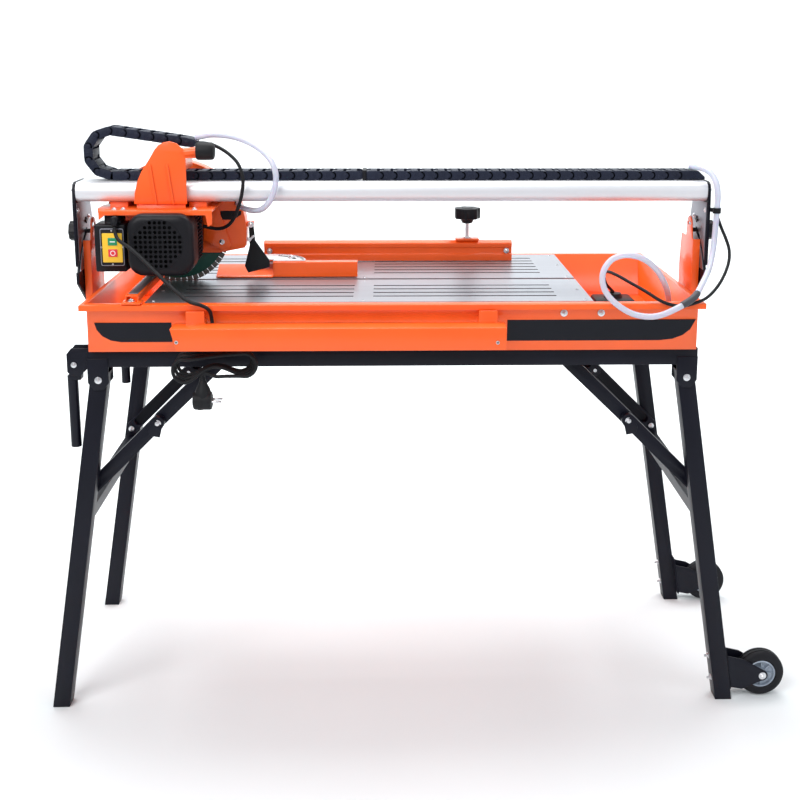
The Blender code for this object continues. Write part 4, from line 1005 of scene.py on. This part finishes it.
def build_motor():
    """A ribbed block between two flanges, with its boss, its cable gland and its mount."""
    (x0, z0), (x1, z1) = (-0.5255, 0.9325), (-0.4025, 1.0528)
    piece = Piece("motor_body")
    core = rounded((x0 + 0.007, z0 + 0.007), (x1 - 0.007, z1 - 0.006), 0.026, 6)
    piece.add(prism(core, -0.1646, -0.072, 0.001), MOTOR)
    ribs, thick, deep = 13, 0.0022, 0.012
    for i in range(ribs):
        z = z0 + 0.014 + i * 0.0076
        for low, high in ((x1 - deep, x1), (x0, x0 + deep)):
            piece.add(box((low, -0.16, z), (high, -0.08, z + thick), 0.0006), MOTOR)
    for i in range(ribs):
        x = x0 + 0.014 + i * 0.0078
        for low, high in ((z0, z0 + deep), (z1 - 0.01, z1 - 0.0008)):
            piece.add(box((x, -0.16, low), (x + thick, -0.08, high), 0.0006), MOTOR)
    for y0, y1 in ((-0.1646, -0.159), (-0.08, -0.072)):
        flange = rounded((x0, z0), (x1, z1 - 0.0004), 0.03, 6)
        piece.add(prism(flange, y0, y1, 0.001), MOTOR)
    piece.add(rod((SPINDLE_X, -0.0735, SPINDLE_Z), (SPINDLE_X, -0.0462, SPINDLE_Z), 0.03, 40,
                  soften=0.001), MOTOR)
    piece.add(rod((-0.406, -0.112, 1.016), (-0.4, -0.112, 1.016), 0.0085, 6,
                  soften=0.0005), PLASTIC)
    piece.add(rod((-0.401, -0.112, 1.016), (-0.397, -0.112, 1.016), 0.007, 24, 0.0052),
              PLASTIC)
    piece.bolts([(x, -0.0719, z) for x in (-0.512, -0.416) for z in (0.948, 1.038)], (0, 1, 0),
                0.0042, 0.003)
    mount = [(-0.402, 1.05), (-0.372, 1.05), (-0.345, 0.964), (-0.36, 0.952),
             (-0.402, 0.976)]
    piece.add(prism(mount, -0.064, -0.0612, 0.0006), ORANGE)
    piece.bolts([(-0.364, -0.064, 0.972)], (0, -1, 0), 0.004, 0.003)
    piece.place("motor_housing")


def cover_loft(sections):
    """A body through rounded sections of the fan cover: (y, inset, corner radius)."""
    rings = []
    for y, inset, radius in sections:
        outline = rounded((-0.53 + inset, 0.928 + inset), (-0.398 - inset, 1.0528 - inset),
                          radius, 8)
        rings.append([(x, y, z) for x, z in outline])
    return loft(rings)


def build_fan_cover():
    """A hollow cover with a ring groove and a round grille, and the fan behind it."""
    shell = cover_loft([(-0.1655, 0.0, 0.032), (-0.212, 0.0, 0.032), (-0.2165, 0.0008, 0.0315),
                        (-0.22, 0.0028, 0.03), (-0.223, 0.0062, 0.0275),
                        (-0.2246, 0.011, 0.024), (-0.225, 0.016, 0.02)])
    hollow = cover_loft([(-0.164, 0.0026, 0.029), (-0.212, 0.0026, 0.029),
                         (-0.219, 0.006, 0.0265), (-0.2222, 0.013, 0.021)])
    cover = Piece("fan_cover").add(shell, PLASTIC).place("fan_cover_shell")
    cut(cover, hollow)
    groove = [(0.0488, -0.23), (0.0506, -0.23), (0.0506, -0.2243), (0.0488, -0.2243)]
    cut(cover, ring(groove, (FAN_X, 0, FAN_Z), "Y", 64))
    holes = []
    for row in range(-5, 5):
        for column in range(-5, 5):
            x, z = (column + 0.5) * GRILLE_PITCH, (row + 0.5) * GRILLE_PITCH
            if hypot(x, z) < GRILLE_RADIUS:
                x, z = FAN_X + x, FAN_Z + z
                holes.append(rod((x, -0.23, z), (x, -0.219, z), GRILLE_HOLE, 16))
    cut(cover, merged(holes))
    for face in cover.data.polygons:
        face.use_smooth = True
    cover.data.set_sharp_from_angle(angle=SHARP_FROM)
    fan = Piece()
    fan.add(rod((FAN_X, -0.195, FAN_Z), (FAN_X, -0.192, FAN_Z), 0.057, 48), RUBBER)
    fan.add(rod((FAN_X, -0.212, FAN_Z), (FAN_X, -0.193, FAN_Z), 0.012, 32, soften=0.001),
            RUBBER)
    blades = 9
    for i in range(blades):
        turn = Matrix.Rotation(2 * pi * i / blades, 4, "Y")
        fan.add(box((0.012, -0.212, -0.001), (0.048, -0.194, 0.001), 0.0004), RUBBER,
                Matrix.Translation((FAN_X, 0, FAN_Z)) @ turn)
    fan.place("cooling_fan", "carriage", "black_plastic")


def build_guard():
    piece = refined("blade_guard", ORANGE)
    # Painted shade: the guard's slot is not cut but drawn as a thin dark sheet on its face.
    slot = [(-0.367, 1.018), (-0.34, 1.018), (-0.323, 1.029), (-0.323, 1.037),
            (-0.367, 1.037)]
    piece.add(prism(slot, -0.0541, -0.053), RUBBER)
    piece.bolts([(-0.377, -0.0537, 1.029), (-0.356, -0.0537, 0.976)], (0, -1, 0), 0.0034,
                0.0024)
    piece.add(rod((-0.3305, -0.0535, 1.0535), (-0.327, -0.06, 1.0535), 0.0065, 20, 0.0055),
              PLASTIC)
    collar = [(0.035, -0.055), (0.039, -0.055), (0.039, -0.053), (0.035, -0.053)]
    piece.add(ring(collar, (SPINDLE_X, 0, SPINDLE_Z), "Y", 40), ORANGE)
    piece.add(rod((-0.305, -0.044, 1.006), (-0.305, -0.026, 1.006), 0.003, 16), STEEL)
    piece.bolts([(-0.305, -0.043, 1.006)], (0, -1, 0), 0.0046, 0.003)
    piece.place("blade_guard_shell")


def build_blade():
    """A steel core with a rim of separate diamond segments."""
    centre = (SPINDLE_X, -0.035, SPINDLE_Z)
    piece = Piece("blade")
    core = mirrored([(0.0127, 0.001), (0.06, 0.001), (0.0605, 0.0008), (0.105, 0.0008)])
    piece.add(ring(core, centre, "Y", 96), CORE)
    teeth, filled = 54, 0.88
    for i in range(teeth):
        start = 360 * i / teeth
        end = start + 360 / teeth * filled
        outline = arc((0, 0), 0.1148, start, end, 3) + arc((0, 0), 0.1045, end, start, 3)
        piece.add(prism(outline, -0.0012, 0.0012, 0.0002), RIM, Matrix.Translation(centre))
    piece.place("diamond_blade")
    refined("blade_flange", STEEL, 0.0004, 2, 40).place("blade_clamp")


def build_flap():
    """The rubber splash flap and its wing nut."""
    piece = refined("splash_flap", RUBBER, 0.001)
    piece.add(rod((FLAP_PIVOT_X, -0.039, 0.9735), (FLAP_PIVOT_X, -0.046, 0.9735), 0.0046, 18,
                  soften=0.0005), STEEL)
    for side in (-1, 1):
        wing = [(FLAP_PIVOT_X + side * across, z) for across, z in
                ((0.003, 0.9715), (0.012, 0.98), (0.0105, 0.9835), (0.0015, 0.9775))]
        piece.add(prism(wing, -0.045, -0.0425, 0.0005), STEEL)
    piece.place("splash_flap_rubber")


def build_switch():
    """The switch box with its panel, its label and frames, and the two buttons."""
    piece = refined("switch_box", PLASTIC, 0.0005, 1)
    layers = [(rounded((-0.5862, 0.9468), (-0.5393, 1.0222), 0.004, 4), 0.0008, 0.0004, PLATE),
              (rounded((-0.5848, 0.9482), (-0.5407, 1.0208), 0.003, 4), 0.001, -0.0004, PLASTIC),
              (rounded((-0.582, 0.954), (-0.5425, 1.013), 0.0015, 3), 0.0014, -0.0006, YELLOW)]
    for z in (START_Z, STOP_Z):
        bezel = rounded((-0.5725, z - 0.0098), (-0.5505, z + 0.0098), 0.0012, 3)
        layers.append((bezel, 0.0018, -0.001, YELLOW))
    for outline, front, back, surface in layers:
        piece.add(prism(outline, PANEL_Y - front, PANEL_Y + back, 0.0002), surface)
    corners = ((-0.5628, 1.018), (-0.5628, 0.95), (-0.5842, 0.9845), (-0.5408, 0.9845))
    piece.screws([(x, PANEL_Y - 0.0008, z) for x, z in corners], (0, -1, 0), 0.002)
    piece.place("switch_case")
    y0, y1 = -0.0003, 0.0002
    button = refined("start_button", GREEN)
    button.add(box((-0.5665, BUTTON_FRONT + y0, START_Z - 0.0011),
                   (-0.5565, BUTTON_FRONT + y1, START_Z + 0.0011)), WHITE)
    button.place("start_button_cap")
    button = refined("stop_button", RED)
    circle = [(0.0038, y0), (0.0052, y0), (0.0052, y1), (0.0038, y1)]
    button.add(ring(circle, (-0.5615, BUTTON_FRONT, STOP_Z), "Y", 32), WHITE)
    button.place("stop_button_cap")


# ---- the whole

build_camera()
build_studio()
build_cords()
build_stand()
build_wheels()
build_tray()
build_chain()
build_bridge()
build_head()

bpy.context.view_layer.update()
